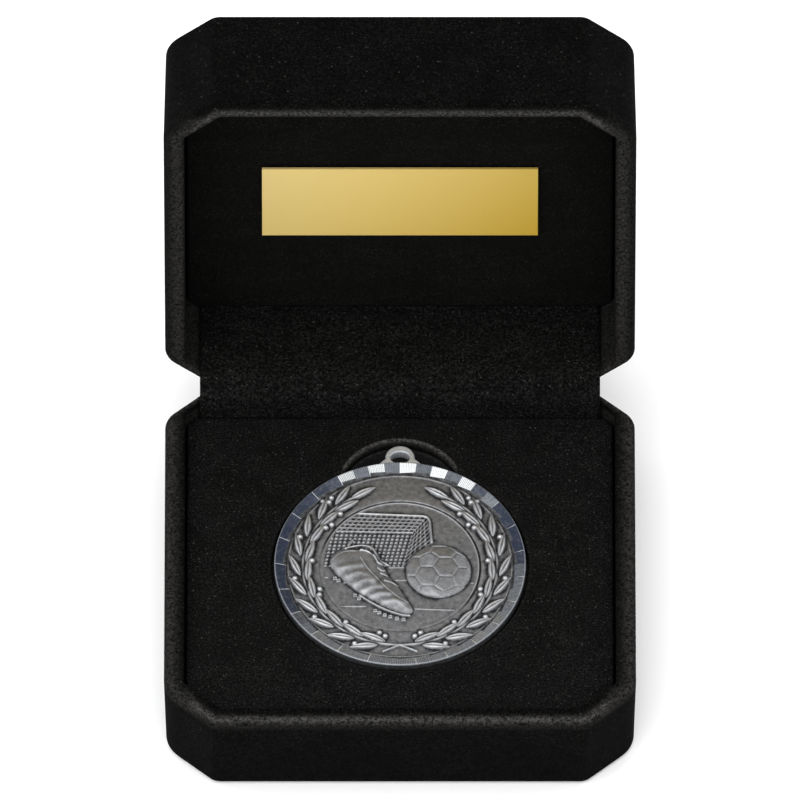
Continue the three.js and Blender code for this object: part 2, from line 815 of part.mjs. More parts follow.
// A low dome on a straight edge.
function dome(radius, edge, height, sides, steps) {
  const rings = [circleRing(radius, 0, -reliefSink, sides)];
  for (const { rise, run } of rounding(steps)) {
    rings.push(circleRing(radius * (1 - run), 0, edge + (height - edge) * rise, sides));
  }
  return loft(rings);
}

// A raised line of triangular section between two places on the field.
function ridge(from, to, width, height) {
  const along = new THREE.Vector2().subVectors(to, from);
  const side = new THREE.Vector2(-along.y, along.x).setLength(width / 2);
  const ring = (p) => [
    at(p.x - side.x, p.y - side.y, -reliefSink),
    at(p.x + side.x, p.y + side.y, -reliefSink),
    at(p.x + side.x / 2, p.y + side.y / 2, height),
    at(p.x - side.x / 2, p.y - side.y / 2, height),
  ];
  return loft([ring(from), ring(to)]);
}

// One branch, growing from the crossed stems at the bottom up the right-hand side.
function branch(sign) {
  const place = (degrees, radius) => {
    const angle = THREE.MathUtils.degToRad(degrees);
    return new THREE.Vector2(sign * radius * Math.sin(angle), -radius * Math.cos(angle));
  };
  const first = -wreathCross;
  const last = 180 - wreathGap;
  const step = (last - wreathCross) / leafPairs;
  const solids = [];
  for (let i = 0; i < leafPairs; i++) {
    const from = i ? wreathCross + i * step : first;
    const to = wreathCross + (i + 1) * step;
    const stem = ridge(place(from, wreathRadius), place(to, wreathRadius), stemWidth, stemHeight);
    solids.push(onField(stem, 0, 0, 0));
    for (const out of [-1, 1]) {
      const root = place(wreathCross + (i + leafPlaceShare) * step, wreathRadius + out * leafSpread);
      const heading = sign * (to - step / 2 - 90 - out * leafTurn);
      solids.push(onField(laurelLeaf(), root.x, root.y, heading));
    }
    const berryOut = wreathRadius + (i % 2 ? -1 : 1) * berryOffset;
    const berry = place(wreathCross + (i + berryPlaceShare) * step, berryOut);
    const berryDome = dome(berryRadius, berryHeight / 3, berryHeight, berrySides, berrySteps);
    solids.push(onField(berryDome, berry.x, berry.y, 0));
  }
  return union(solids);
}

function football() {
  return onField(dome(ballRadius, ballEdge, ballHeight, ballSides, ballSteps), ballX, ballY, 0);
}

// The lines between two edges of a net panel, each edge given by its two ends.
function cords([fromStart, fromEnd], [toStart, toEnd], count, height) {
  return Array.from({ length: count }, (_, i) => {
    const share = (i + 1) / (count + 1);
    const from = new THREE.Vector2().lerpVectors(fromStart, fromEnd, share);
    const to = new THREE.Vector2().lerpVectors(toStart, toEnd, share);
    return ridge(from, to, cordWidth, height);
  });
}

// The goal seen from behind: posts and bar, with the top and the back of its net, inside the scene's line.
function goal() {
  const half = goalWidth / 2;
  const corner = (x, y) => new THREE.Vector2(goalX + x, goalY + y);
  const barLeft = corner(-half, 0);
  const barRight = corner(half, 0);
  const edgeLeft = corner(-half - goalSkew, -goalShelf);
  const edgeRight = corner(half - goalSkew, -goalShelf);
  const footLeft = corner(-half - goalSkew, -goalHeight);
  const footRight = corner(half - goalSkew, -goalHeight);
  const postFoot = corner(half, -goalHeight / 2);
  const bars = [
    [barLeft, barRight],
    [barLeft, edgeLeft],
    [barRight, edgeRight],
    [edgeLeft, edgeRight],
    [edgeLeft, footLeft],
    [edgeRight, footRight],
    [barRight, postFoot],
  ];
  const solids = [
    ...bars.map(([from, to]) => ridge(from, to, postWidth, postHeight)),
    ...cords([barLeft, barRight], [edgeLeft, edgeRight], topCords, cordHeight),
    ...cords([barLeft, edgeLeft], [barRight, edgeRight], topRows, rowHeight),
    ...cords([edgeLeft, edgeRight], [footLeft, footRight], backCords, cordHeight),
    ...cords([edgeLeft, footLeft], [edgeRight, footRight], backRows, rowHeight),
  ];
  const scene = rod("z", sceneRadius, -reliefSink - overrun, postHeight + overrun, facetCount);
  return onField(union(solids).intersect(scene), 0, 0, 0);
}

// Lines on the ground behind the boot and the ball, each from one side of the scene's line to the other.
function groundLines() {
  return union(
    groundShares.map((share) => {
      const y = share * sceneRadius;
      const half = Math.sqrt((sceneRadius - sceneLineWidth) ** 2 - y ** 2);
      const ends = [new THREE.Vector2(-half, y), new THREE.Vector2(half, y)];
      return onField(ridge(...ends, groundWidth, groundHeight), 0, 0, 0);
    }),
  );
}

// A plain boot seen from its side, domed from its outline, with studs along its sole.
function boot() {
  const place = ([along, up]) => at(along * bootLength, up * bootLength, 0);
  const edge = new THREE.CatmullRomCurve3(bootOutlineShares.map(place), true).getPoints(bootSteps).slice(1);
  const centre = place(bootCentreShares);
  const ring = (drawn, z) => edge.map((p) => new THREE.Vector3().lerpVectors(centre, p, drawn).setZ(z));
  const domes = bootDomeShares.map(([drawn, height]) => ring(drawn, bootHeight * height));
  const upper = loft([ring(1, -reliefSink), ring(1, bootEdge), ...domes]);
  const studs = studPlaceShares.map(place).map((stud) =>
    box(
      at(stud.x - studWidth / 2, stud.y - studLength, -reliefSink),
      at(stud.x + studWidth / 2, stud.y + studLength, studHeight),
    ),
  );
  return union([upper, ...studs]);
}

function medal() {
  const solids = [
    medalDisc(),
    medalLoop(),
    branch(1),
    branch(-1),
    football(),
    goal(),
    groundLines(),
    onField(boot(), bootX, bootY, bootTurn),
  ];
  return union(solids);
}

// Assembly

function mesh(name, solid, finish) {
  const made = new THREE.Mesh(geometryOf(solid), new THREE.MeshStandardMaterial(finish));
  made.name = name;
  return made;
}

const baseHalf = new THREE.Group();
baseHalf.position.set(0, caseDepth / 2, hingeHeight);
baseHalf.add(
  mesh("base_shell", shell(baseHeight).subtract(hingeCut(true)), flock),
  mesh("tray_block", trayBlock(), foam),
  mesh("tray_pad", trayPad(), velvet),
  mesh("hinge_leaf_base", leaf(1, false), steel),
  mesh("hinge_pin", hingePin(), steel),
  mesh("snap_spring", snapSpring(), steel),
  mesh("hinge_flap", hingeFlap(), velvet),
);
for (const [name, x] of rivetPlaces()) {
  const held = leafThickness + (x ? 0 : springThickness + pressFit);
  baseHalf.add(mesh(`base_rivet_${name}`, rivet(x, held), steel));
}

const lidHalf = new THREE.Group();
lidHalf.rotation.y = Math.PI; // the lid is made as the base is, and turned over onto it
lidHalf.add(
  mesh("lid_shell", shell(lidHeight).subtract(hingeCut(false)), flock),
  mesh("lid_foam", lidFoam(), foam),
  mesh("lid_panel", lidPanel(), velvet),
  mesh("plate_adhesive", adhesive(), tape),
  mesh("engraving_plate", engravingPlate(), gilt),
  mesh("hinge_leaf_lid", leaf(0, true), steel),
);
for (const [name, x] of rivetPlaces()) {
  lidHalf.add(mesh(`lid_rivet_${name}`, rivet(x, leafThickness), steel));
}

const lidPivot = new THREE.Group();
lidPivot.position.copy(baseHalf.position);
lidPivot.rotation.x = -THREE.MathUtils.degToRad(openAngle);
lidPivot.add(lidHalf);

const medalMesh = mesh("medal", medal(), silver);
medalMesh.position.set(0, medalCentreY, medalBase);

const casedMedal = new THREE.Group();
casedMedal.add(baseHalf, lidPivot, medalMesh);

export default casedMedal;
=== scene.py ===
import json
import math

import bpy
import numpy as np
from mathutils import Matrix, Vector


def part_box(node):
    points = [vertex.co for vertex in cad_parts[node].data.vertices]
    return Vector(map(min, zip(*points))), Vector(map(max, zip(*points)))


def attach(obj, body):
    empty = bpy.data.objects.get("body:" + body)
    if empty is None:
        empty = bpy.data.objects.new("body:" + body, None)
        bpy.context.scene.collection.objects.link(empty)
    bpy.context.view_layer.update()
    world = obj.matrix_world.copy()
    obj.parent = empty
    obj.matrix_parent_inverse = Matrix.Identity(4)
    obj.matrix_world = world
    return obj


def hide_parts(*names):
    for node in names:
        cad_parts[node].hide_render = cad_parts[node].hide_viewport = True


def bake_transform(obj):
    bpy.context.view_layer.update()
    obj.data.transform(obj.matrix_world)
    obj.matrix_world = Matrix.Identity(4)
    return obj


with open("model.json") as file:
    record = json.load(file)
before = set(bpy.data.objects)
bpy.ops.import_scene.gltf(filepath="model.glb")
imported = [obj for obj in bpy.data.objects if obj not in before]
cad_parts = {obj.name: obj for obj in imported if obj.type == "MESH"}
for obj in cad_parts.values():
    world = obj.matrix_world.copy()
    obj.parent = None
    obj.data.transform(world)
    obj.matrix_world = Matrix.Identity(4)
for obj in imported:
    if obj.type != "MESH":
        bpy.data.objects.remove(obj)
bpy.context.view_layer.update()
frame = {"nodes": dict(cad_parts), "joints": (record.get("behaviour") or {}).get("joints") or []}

# The dressed model of a cased medal: a flocked octagonal case standing open, velvet linings,
# a gold-coloured plate and an antique-silver medal. Metres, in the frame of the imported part.

# Case
clip_width = 0.0098
clip_depth = 0.0084
back_clip_width = 0.0091
back_clip_depth = 0.0077
side_corner_radius = 0.0065  # where a front clip meets the left or right side
back_corner_radius = 0.004  # where a back clip meets it
end_corner_radius = 0.003  # where a clip meets the front or the back
inner_corner_radius = 0.0008
corner_steps = 8
rim_wall = 0.004
back_wall = 0.0018
wall_draft = 0.0004
floor_thickness = 0.002
lid_height = 0.0245
edge_round = 0.0012
rim_crown = 0.0014
rim_ease = 0.0005
crown_share = 0.36
ease_share = 0.12
parting_gap = 0.0003
flock_cell = 0.001  # spacing of a shell's mesh

# Painted sheen: a pale band painted along a rim where the pile would catch the light, in shares of the rim
# from 0 outside to 1 inside
base_painted_sheen = (0.26, 0.2)  # where it lies and how far it spreads
lid_painted_sheen = (0.68, 0.22)
no_painted_sheen = 9  # a share too far off to show it
side_dim = 0.58  # how much less the pile catches the light along the sides than along the front
side_spread = 1.1  # and how much wider

# Hinge
hinge_relief = 0.00155
spring_relief = 0.0024
cutter_overrun = 0.001
end_gap = 0.0003

# Lining and padding
seat_gap = 0.0003
slip_fit = 0.0004
tray_drop = 0.00325
pad_round = 0.0006
pad_turns = 1080  # points round the pad's recess
pad_rows = 26  # rows of points from the recess to the pad's edge
pad_wave = 0.00004  # how uneven the pad's face is
pad_wave_size = 0.02
pad_wave_start = 0.004  # how far from the recess the face is fully uneven
notch_radius = 0.012
notch_offset = 0.01873
notch_depth = 0.0068
notch_sheen_ease = 0.0008  # over which the painted sheen along the notch's edge fades
recess_sheen = 0.06  # how much of that painted sheen the medal's recess has
panel_drop = 0.0164
panel_thickness = 0.002
panel_wave = 0.00005
panel_wave_size = 0.025
foam_round = 0.0003
flap_face = 0.005
flap_thickness = 0.0006
flap_fit = 0.00025
flap_tuck = 0.003
flap_bend = 0.0016
flap_hem = 0.0004  # near its sides the strip thins over this width
flap_hem_share = 0.6

# Medal
medal_radius = 0.025
medal_height = 0.0033
medal_proud = 0.0008
recess_fit = 0.0005
under_chamfer = 0.0004
under_lip = 0.002
under_recess = 0.0003
crest_ease = 0.0003  # the rounded outer edge of the rim
lip_width = 0.00008  # of the worn inner edge of a flat
lip_drop = 0.00003
rim_step = 0.00015
field_drop = 0.0011
cove_width = 0.0012
cove_rise = 0.00012
bead_radius = 0.0222  # the thin line that runs round beside the rim
bead_width = 0.00028
bead_rise = 0.0001
band_rows = 54  # rows of points across the band with the wreath

# Flats of the rim, with reflections painted on them from dark blue-grey to bright
facet_count = 48
facet_points = 24  # along each flat
facet_gap = math.radians(0.22)  # from a flat's end to the painted highlight line where two flats meet
facet_wide = 0.0023
facet_narrow = 0.0017
facet_slope = math.radians(15)
facet_slope_step = math.radians(2.5)
bright_reflection_end = (50, 18)  # degrees from the loop where the flats with a bright painted reflection have ended, and where they begin to
left_stretch = 1.15  # they end sooner at the left
right_stretch = 0.85
dark_reflection_tone = 0.13  # painted dark reflection of every other flat near the loop, and of the top of the edge
pale_reflection_tone = 0.15
pale_reflection_spans = [((112, 138), (240, 215)), ((212, 232), (278, 262))]  # degrees where flats with a paler painted reflection begin and end
# painted highlight along the thin line where two flats meet
line_highlight_tone = 0.8
# painted reflection on the rounded outer edge of the rim
edge_reflection_tone = 0.3
loop_tone = 0.42
streak_share = 0.9  # how much a flat's painted reflection varies along it, in streaks
streak_turn = 2.4

# Wear of the antique finish, from 0 in the dark to 1 where it is rubbed bright
field_wear = 0.27
edge_wear = 0.15
foot_wear = 0.05
scene_wear_cells = 5  # of the grid, over which surroundings are levelled out
band_wear_cells = 4
wear_depth = 0.00022
high_wear = 0.44  # gained by what stands wear_depth above its surroundings
low_wear = 0.5  # lost by what lies as far below them
raised_wear = 0.06
raised_from = 0.0002
raised_to = 0.0008
seam_wear_fill = 1.2  # the ball's seams are worn as if they stood a little proud

# Loop
loop_reach = 0.0044
loop_width = 0.0059
loop_foot = 0.0086
loop_hole_width = 0.0037
loop_hole_height = 0.0027
loop_thickness = 0.0022
loop_rise = 0.0007
loop_sink = 0.0007
loop_ease = 0.0004
loop_points = 240

# Scene inside the wreath
scene_cells = 300  # of the grid over it
scene_edge = 0.0153
scene_root = 0.0003
scene_overlap = 0.0002  # of the band under the scene's edge
scene_radius = 0.0156  # of the line round it
scene_line_width = 0.00035
scene_line_rise = 0.00014
scene_groove = 0.0003  # how deep the dark line just outside it is
line_fade = (-0.006, 0.004)  # the line is full behind and to the right of this
line_least = 0.12  # and has this share in front

# Wreath: angles in degrees from the front
wreath_radius = 0.0193
wreath_start = 9
wreath_end = 150
wreath_cross = 9
leaf_pairs = 10
leaf_length = 0.0056
leaf_width = 0.0015
leaf_rise = 0.00075
leaf_turn = math.radians(14)
leaf_spread = 0.0006
leaf_stagger = 4
stem_width = 0.00045
stem_rise = 0.0003
stem_flare = 0.0018
berry_radius = 0.0006
berry_rise = 0.0007
berry_offset = 0.0018

# Football, goal and ground
ball_centre = (0.00765, -0.0013)
ball_radius = 0.0065
ball_rise = 0.00125
ball_edge = 0.00008
ball_fullness = 1.15  # 1 for a round dome, more for one that falls off sooner
ball_lean = math.radians(14)
ball_nod = math.radians(-4.5)
five_panel_share = 0.9393
six_panel_share = 0.9149
seam_share = 0.024
seam_depth = 0.0002
stipple_pitch = 0.00044
stipple_rise = 0.00016
goal_back_left = (-0.0110, 0.0130)
goal_back_right = (0.0053, 0.0121)
goal_front_left = (-0.0142, 0.0086)
goal_front_right = (0.0026, 0.0082)
goal_foot_left = (-0.0157, 0.0000)
goal_foot_right = (0.0006, 0.0000)
goal_corner = [(0.0046, 0.0122), (0.0055, 0.0118), (0.0059, 0.0109)]
goal_post_foot = (0.0063, 0.0058)
goal_nets = [  # corners, meshes along and down, width of a cord, share of the knots, share of the rise
    ([goal_back_left, goal_back_right, goal_front_right, goal_front_left], (15, 5), 0.26, 0.1, 1),
    ([goal_front_left, goal_front_right, goal_foot_right, goal_foot_left], (18, 10), 0.36, 0.92, 0.9),
    ([goal_front_right, goal_back_right, goal_post_foot, goal_foot_right], (5, 7), 0.28, 0.3, 1),
]
net_rise = 0.00036
post_width = 0.0006
post_rise = 0.0005
ground_lines = [
    [(-0.0155, -0.0027), (-0.0144, -0.0027)],
    [(-0.0021, -0.0003), (0.0007, -0.0003)],
    [(-0.0008, -0.0034), (0.0013, -0.0034)],
    [(0.0141, -0.0041), (0.0151, -0.0041)],
    [(-0.0118, -0.0098), (-0.0068, -0.0098)],
    [(0.0030, -0.0104), (0.0118, -0.0108)],
]
ground_width = 0.0003
ground_rise = 0.00016
pebble_pitch = 0.00042
pebble_rise = 0.00003

# Boot: lines on the medal's field, in thousandths of a metre from its centre
boot_unit = 1000  # of them in a metre
boot_rise = 0.001
boot_edge = 0.0001
boot_swell = 0.0034
fold_rise = 0.00024
fold_width = 0.0007
mouth_depth = 0.00045
mouth_ease = (-0.0001, 0.0003)  # from its edge, outside and inside
welt_width = 0.00045
welt_rise = 0.0004
lace_width = 0.0004
lace_rise = 0.0002
stud_size = (0.0009, 0.0008)
stud_rise = 0.0003
boot_outline = [
    (-13.6, -0.6), (-12.2, -2.6), (-10.6, -4.3), (-8.8, -6.1), (-7.0, -7.6), (-5.2, -8.9), (-3.4, -10.1),
    (-1.6, -11.0), (0.2, -11.7), (1.6, -11.9), (2.5, -11.4), (2.5, -10.4), (1.8, -8.9), (0.8, -7.1),
    (-0.3, -5.2), (-1.6, -3.4), (-2.6, -1.6), (-3.4, 0.0), (-4.2, 1.6), (-4.9, 3.4), (-6.0, 4.6),
    (-7.8, 5.0), (-10.0, 4.6), (-12.0, 3.9), (-13.6, 2.4), (-14.0, 0.9),
]
boot_mouth = [
    (-10.6, 4.0), (-9.0, 3.6), (-7.6, 3.4), (-6.4, 3.1), (-5.3, 2.3), (-5.0, 3.2), (-5.9, 4.3), (-7.4, 4.7),
    (-9.0, 4.5),
]
boot_ridges = [  # width, rise and line of the collar's two edges, the long seam, the heel's edge and its tab
    (0.0006, 0.0004, [(-10.8, 4.2), (-8.7, 4.7), (-7.2, 5.0), (-5.6, 4.5), (-4.6, 2.8), (-3.9, 1.3),
                      (-3.0, 0.6), (-2.4, 0.2)]),
    (0.0005, 0.00042, [(-7.8, 3.5), (-6.5, 3.3), (-5.4, 2.6), (-4.7, 1.4), (-4.3, 0.5), (-3.4, 0.2)]),
    (0.0003, 0.00014, [(-7.8, 1.6), (-6.5, -0.9), (-5.2, -2.6), (-3.4, -5.0), (-1.6, -6.9), (0.1, -8.3),
                       (1.6, -9.2)]),
    (0.0003, 0.0001, [(-13.3, 1.4), (-12.4, 2.6), (-10.8, 3.3), (-8.8, 3.3)]),
    (0.0006, 0.0003, [(-10.2, 5.2), (-9.4, 6.4)]),
]
boot_laces = [
    [(-3.0, -4.0), (-1.6, -4.3), (-0.4, -4.9)],
    [(-4.4, -0.8), (-3.6, -1.4), (-2.9, -1.2)],
    [(-3.8, -2.2), (-3.2, -2.4), (-2.5, -2.7)],
]
boot_folds = [
    [(-12.2, -1.1), (-9.8, -0.6), (-7.6, -0.3)],
    [(-10.4, -3.0), (-8.3, -2.2), (-6.7, -2.6), (-5.2, -3.7)],
    [(-8.8, -4.8), (-6.7, -4.0), (-5.0, -4.6)],
    [(-7.4, -6.5), (-5.6, -5.8), (-3.8, -5.6)],
    [(-5.6, -7.8), (-3.8, -7.3), (-2.0, -7.4)],
    [(-3.2, -9.2), (-1.2, -9.0), (0.6, -9.4)],
]
boot_sole = [
    (-8.0, -7.2), (-6.6, -8.3), (-5.2, -9.3), (-3.6, -10.3), (-1.6, -11.3), (0.4, -12.0), (1.9, -12.2),
]
boot_studs = [
    (-12.9, -3.0), (-12.2, -3.5), (-10.8, -3.9), (-8.9, -7.2), (-8.1, -7.9), (-4.9, -10.9), (-4.1, -11.4),
    (-3.0, -12.0), (-1.9, -12.4), (-0.6, -12.8), (0.7, -13.1),
]

# Camera and surroundings
camera_elevation = math.radians(53.5)
camera_distance = 6.5
view_width = 0.1594  # of the photograph, at the hinge
hinge_above_centre = 0.0028  # how far above the picture's centre the hinge line lies
sensor_width = 36  # millimetres, as lenses are given
floor_size = 4.0
low_light = 0.45  # of the surroundings near the horizon
high_light = 1.8  # and overhead
key_place = (-0.35, -0.5, 1.0)
key_target = (0, 0.02, 0.04)
key_size = 1.2
key_watts = 5.5

# Places read from the frame
hinge = (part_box("hinge_pin")[0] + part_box("hinge_pin")[1]) / 2
hinge.x = 0
base_low, base_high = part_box("base_shell")
half_width = base_high.x
half_depth = hinge.y
medal_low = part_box("medal")[0]
open_angle = math.radians(frame["joints"][0]["range_deg"][1])
rim_level = -parting_gap / 2
base_height = hinge.z + rim_level - base_low.z
pad_level = rim_level - tray_drop
pad_thickness = medal_height - medal_proud
panel_level = rim_level - panel_drop
panel_low = panel_level - panel_thickness
recess_radius = medal_radius + recess_fit
wall_foot = medal_radius - facet_wide - rim_step
field_level = medal_height - field_drop
clip_slant = math.hypot(clip_width, clip_depth)
medal_centre = Vector((0, medal_low.y + medal_radius, medal_low.z))

base_place = Matrix.Translation(hinge)
lid_place = base_place @ Matrix.Rotation(-open_angle, 4, "X") @ Matrix.Rotation(math.pi, 4, "Y")
medal_place = Matrix.Translation(medal_centre)


# Meshes

def piece(name, points, faces, place=Matrix.Identity(4), smooth=True):
    mesh = bpy.data.meshes.new(name)
    mesh.from_pydata(np.asarray(points).reshape(-1, 3).tolist(), [], faces)
    mesh.transform(place)
    mesh.validate()
    mesh.polygons.foreach_set("use_smooth", [smooth] * len(mesh.polygons))
    made = bpy.data.objects.new(name, mesh)
    bpy.context.scene.collection.objects.link(made)
    return made


def ring_faces(rows, count):
    """Quads between rows of equally many points that each run once round."""
    row = np.arange(rows - 1)[:, None] * count
    here = np.arange(count)[None, :]
    after = (here + 1) % count
    corners = [row + here, row + after, row + after + count, row + here + count]
    return np.stack(corners, axis=-1).reshape(-1, 4)


def lofted(name, rings, place):
    """A closed body through rings of points, capped at both ends."""
    rings = np.asarray(rings)
    rows, count = rings.shape[:2]
    last = (rows - 1) * count
    caps = [list(range(count))[::-1], list(range(last, last + count))]
    return piece(name, rings, ring_faces(rows, count).tolist() + caps, place)


def ringed(name, rings, place):
    """A closed body whose rings of points come round to the first again."""
    rings = np.asarray(rings)
    rows, count = rings.shape[:2]
    faces = ring_faces(rows + 1, count) % (rows * count)
    return piece(name, rings, faces.tolist(), place)


def box_piece(name, low, high, place):
    points = [(x, y, z) for z in (low[2], high[2]) for y in (low[1], high[1]) for x in (low[0], high[0])]
    faces = [(0, 2, 3, 1), (4, 5, 7, 6), (0, 1, 5, 4), (2, 6, 7, 3), (0, 4, 6, 2), (1, 3, 7, 5)]
    return piece(name, points, faces, place, smooth=False)


def directions(turns):
    """Flat directions at angles from the x axis."""
    return np.stack([np.cos(turns), np.sin(turns)], axis=-1)


def at_level(flat, z):
    """Flat places raised to one height."""
    return np.column_stack([flat, np.full(len(flat), z)])


def between(start, end, shares):
    return [start + (end - start) * share for share in shares]


def point_values(made, name, values):
    """Keeps a value at each point of a mesh, for its material."""
    made.data.attributes.new(name, "FLOAT", "POINT").data.foreach_set("value", np.ravel(values))


def apply_modifiers(made):
    bpy.context.view_layer.update()
    graph = bpy.context.evaluated_depsgraph_get()
    made.data = bpy.data.meshes.new_from_object(made.evaluated_get(graph), depsgraph=graph)
    made.modifiers.clear()
    return made


def wobble(points, size, seed, waves=9):
    """A smooth uneven value between about -1 and 1 at each point, of features about size across."""
    draw = np.random.default_rng(seed)
    total = np.zeros(points.shape[:-1])
    for _ in range(waves):
        direction = draw.normal(size=3)
        direction /= np.linalg.norm(direction)
        pitch = size * draw.uniform(0.7, 1.6)
        total += np.sin(points @ direction * (2 * math.pi / pitch) + draw.uniform(0, 2 * math.pi))
    return total / math.sqrt(waves)


# Case outline, in the frame of one half: y = z = 0 is the hinge pin, y falls to the front, z into the half

def case_sides():
    def clip(x, y, zone):
        width, depth = (back_clip_width, back_clip_depth) if y > 0 else (clip_width, clip_depth)
        slant = math.hypot(width, depth)
        out = (half_width * depth + half_depth * width - width * depth) / slant
        return x * depth / slant, y * width / slant, out, zone

    return [
        (0, -1, half_depth, "front"),
        clip(1, -1, "frontClip"),
        (1, 0, half_width, "side"),
        clip(1, 1, "backClip"),
        (0, 1, half_depth, "back"),
        clip(-1, 1, "backClip"),
        (-1, 0, half_width, "side"),
        clip(-1, -1, "frontClip"),
    ]


def outer_corners(share):
    """The corner radii outside, drawn towards the inner one: at a side's front, its back, and elsewhere."""
    radii = (side_corner_radius, back_corner_radius, end_corner_radius)
    return [radius + (inner_corner_radius - radius) * share for radius in radii]


inner_corners = (inner_corner_radius,) * 3


def outline(inset, corners, z):
    """The case outline moved in by each zone's inset, with points round its corners and along its sides."""
    sides = case_sides()
    arcs = []
    for (x0, y0, out0, zone0), (x, y, out, zone) in zip(sides[-1:] + sides[:-1], sides):
        beside_clip = 1 if "backClip" in (zone0, zone) else 0
        radius = corners[beside_clip if "side" in (zone0, zone) else 2]
        before = out0 - inset(zone0) - radius
        here = out - inset(zone) - radius
        turn = x0 * y - y0 * x
        centre = np.array([(before * y - here * y0) / turn, (here * x0 - before * x) / turn])
        sweep = math.atan2(turn, x0 * x + y0 * y)
        angles = math.atan2(y0, x0) + sweep * np.linspace(0, 1, corner_steps + 1)
        arcs.append(centre + radius * directions(angles))
    points = []
    lengths = [2 * (half_width - clip_width), clip_slant, 2 * (half_depth - clip_depth), clip_slant] * 2
    for arc, after, length in zip(arcs, arcs[1:] + arcs[:1], lengths):
        steps = max(2, round(length / flock_cell))
        points += [arc, arc[-1] + (after[0] - arc[-1]) * np.linspace(0, 1, steps + 1)[1:-1, None]]
    return at_level(np.concatenate(points) - [0, half_depth], z)


def wall_of(zone):
    return back_wall if zone.startswith("back") else rim_wall


def liner_inset(zone):
    return flap_face + seat_gap if zone == "back" else wall_of(zone) + slip_fit


def quarter(steps):
    """A quarter turn as pairs: the sine, and the rest of the cosine."""
    angles = np.linspace(0, math.pi / 2, steps + 1)
    return list(zip(np.sin(angles), 1 - np.cos(angles)))


# Case shells

def shell(name, height, place, painted_sheen):
    """One flocked half, with a painted sheen palest at the given share of the way across its rim."""
    bottom = rim_level - height
    rings = []
    shares = []

    def drawn(z):
        return wall_draft * (rim_level - z) / height

    def add(inset, corners, z, share=no_painted_sheen):
        rings.append(outline(inset, corners, z))
        shares.append(share)

    under = outline(lambda zone: wall_draft + edge_round, outer_corners(0), bottom)
    middle = under.mean(axis=0)
    for part in np.linspace(0.05, 0.95, 12):
        rings.append(middle + (under - middle) * part)
        shares.append(no_painted_sheen)
    for rise, run in quarter(6):
        z = bottom + edge_round * run
        add(lambda zone: drawn(z) + edge_round * (1 - rise), outer_corners(0), z)
    wall_height = height - edge_round - rim_crown
    for part in np.linspace(0, 1, round(wall_height / flock_cell))[1:-1]:
        z = bottom + edge_round + part * wall_height
        add(lambda zone: drawn(z), outer_corners(0), z)
    for rise, run in quarter(7):
        z = rim_level - rim_crown * (1 - rise)
        share = crown_share * run
        add(lambda zone: drawn(z) + wall_of(zone) * share, outer_corners(share), z, share)
    for part in np.linspace(0, 1, 7)[1:-1]:
        share = crown_share + (1 - ease_share - crown_share) * part
        corners = outer_corners(crown_share + (1 - crown_share) * part)
        add(lambda zone: wall_of(zone) * share, corners, rim_level, share)
    for rise, run in quarter(5):
        share = 1 - ease_share * (1 - rise)
        add(lambda zone: wall_of(zone) * share, inner_corners, rim_level - rim_ease * run, share)
    sheen_centre, sheen_spread = painted_sheen
    for z in np.arange(rim_level - rim_ease - flock_cell, bottom + floor_thickness, -flock_cell):
        add(wall_of, inner_corners, z, sheen_centre + 1.5 * sheen_spread)
    add(wall_of, inner_corners, bottom + floor_thickness)

    rings = np.array(rings)
    made = lofted(name, rings, place)
    # painted sheen along the rim, dimmer and wider along the sides, faint down the inner walls
    beside = soft_step(np.abs(rings[..., 0]), half_width - 2 * rim_wall, half_width - rim_wall)
    spread = sheen_spread * (1 + side_spread * beside)
    painted_paleness = np.exp(-(((np.array(shares)[:, None] - sheen_centre) / spread) ** 2))
    point_values(made, "painted_sheen", painted_paleness * (1 - side_dim * beside))
    return made


def cut(made, boxes, place):
    """Takes boxes, given in one half's frame, out of a piece."""
    for low, high in boxes:
        tool = box_piece("cutter", low, high, place)
        change = made.modifiers.new("cut", "BOOLEAN")
        change.operation = "DIFFERENCE"
        change.solver = "EXACT"
        change.object = tool
        apply_modifiers(made)
        bpy.data.objects.remove(tool)


def hinge_cuts(with_spring):
    """What the back wall loses to the hinge's knuckles and, in the base, to the spring."""
    cuts = [(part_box("hinge_leaf_base")[1].x + end_gap, hinge_relief)]
    if with_spring:
        cuts.append((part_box("snap_spring")[1].x + end_gap, spring_relief))
    front = -back_wall - cutter_overrun
    back = hinge_relief + cutter_overrun
    return [((-reach, front, -relief), (reach, back, cutter_overrun)) for reach, relief in cuts]


# Linings and padding, in the frame of one half

def reach_of(flat, centre, turns):
    """How far a closed line of points lies from a centre, at each angle round it."""
    away = flat[:, :2] - centre
    bearing = np.arctan2(away[:, 1], away[:, 0]) % (2 * math.pi)
    order = np.argsort(bearing)
    return np.interp(turns, bearing[order], np.hypot(away[:, 0], away[:, 1])[order], period=2 * math.pi)


def recess_reach(turns, margin):
    """How far the edge of the medal's recess and finger notch lies from the medal's centre."""
    notch = notch_radius + margin
    off = np.cos(turns)
    under = notch ** 2 - (notch_offset * off) ** 2
    far = notch_offset * np.sin(turns) + np.sqrt(np.clip(under, 0, None))
    return np.maximum(recess_radius + margin, np.where((under > 0) & (np.sin(turns) > 0), far, 0))


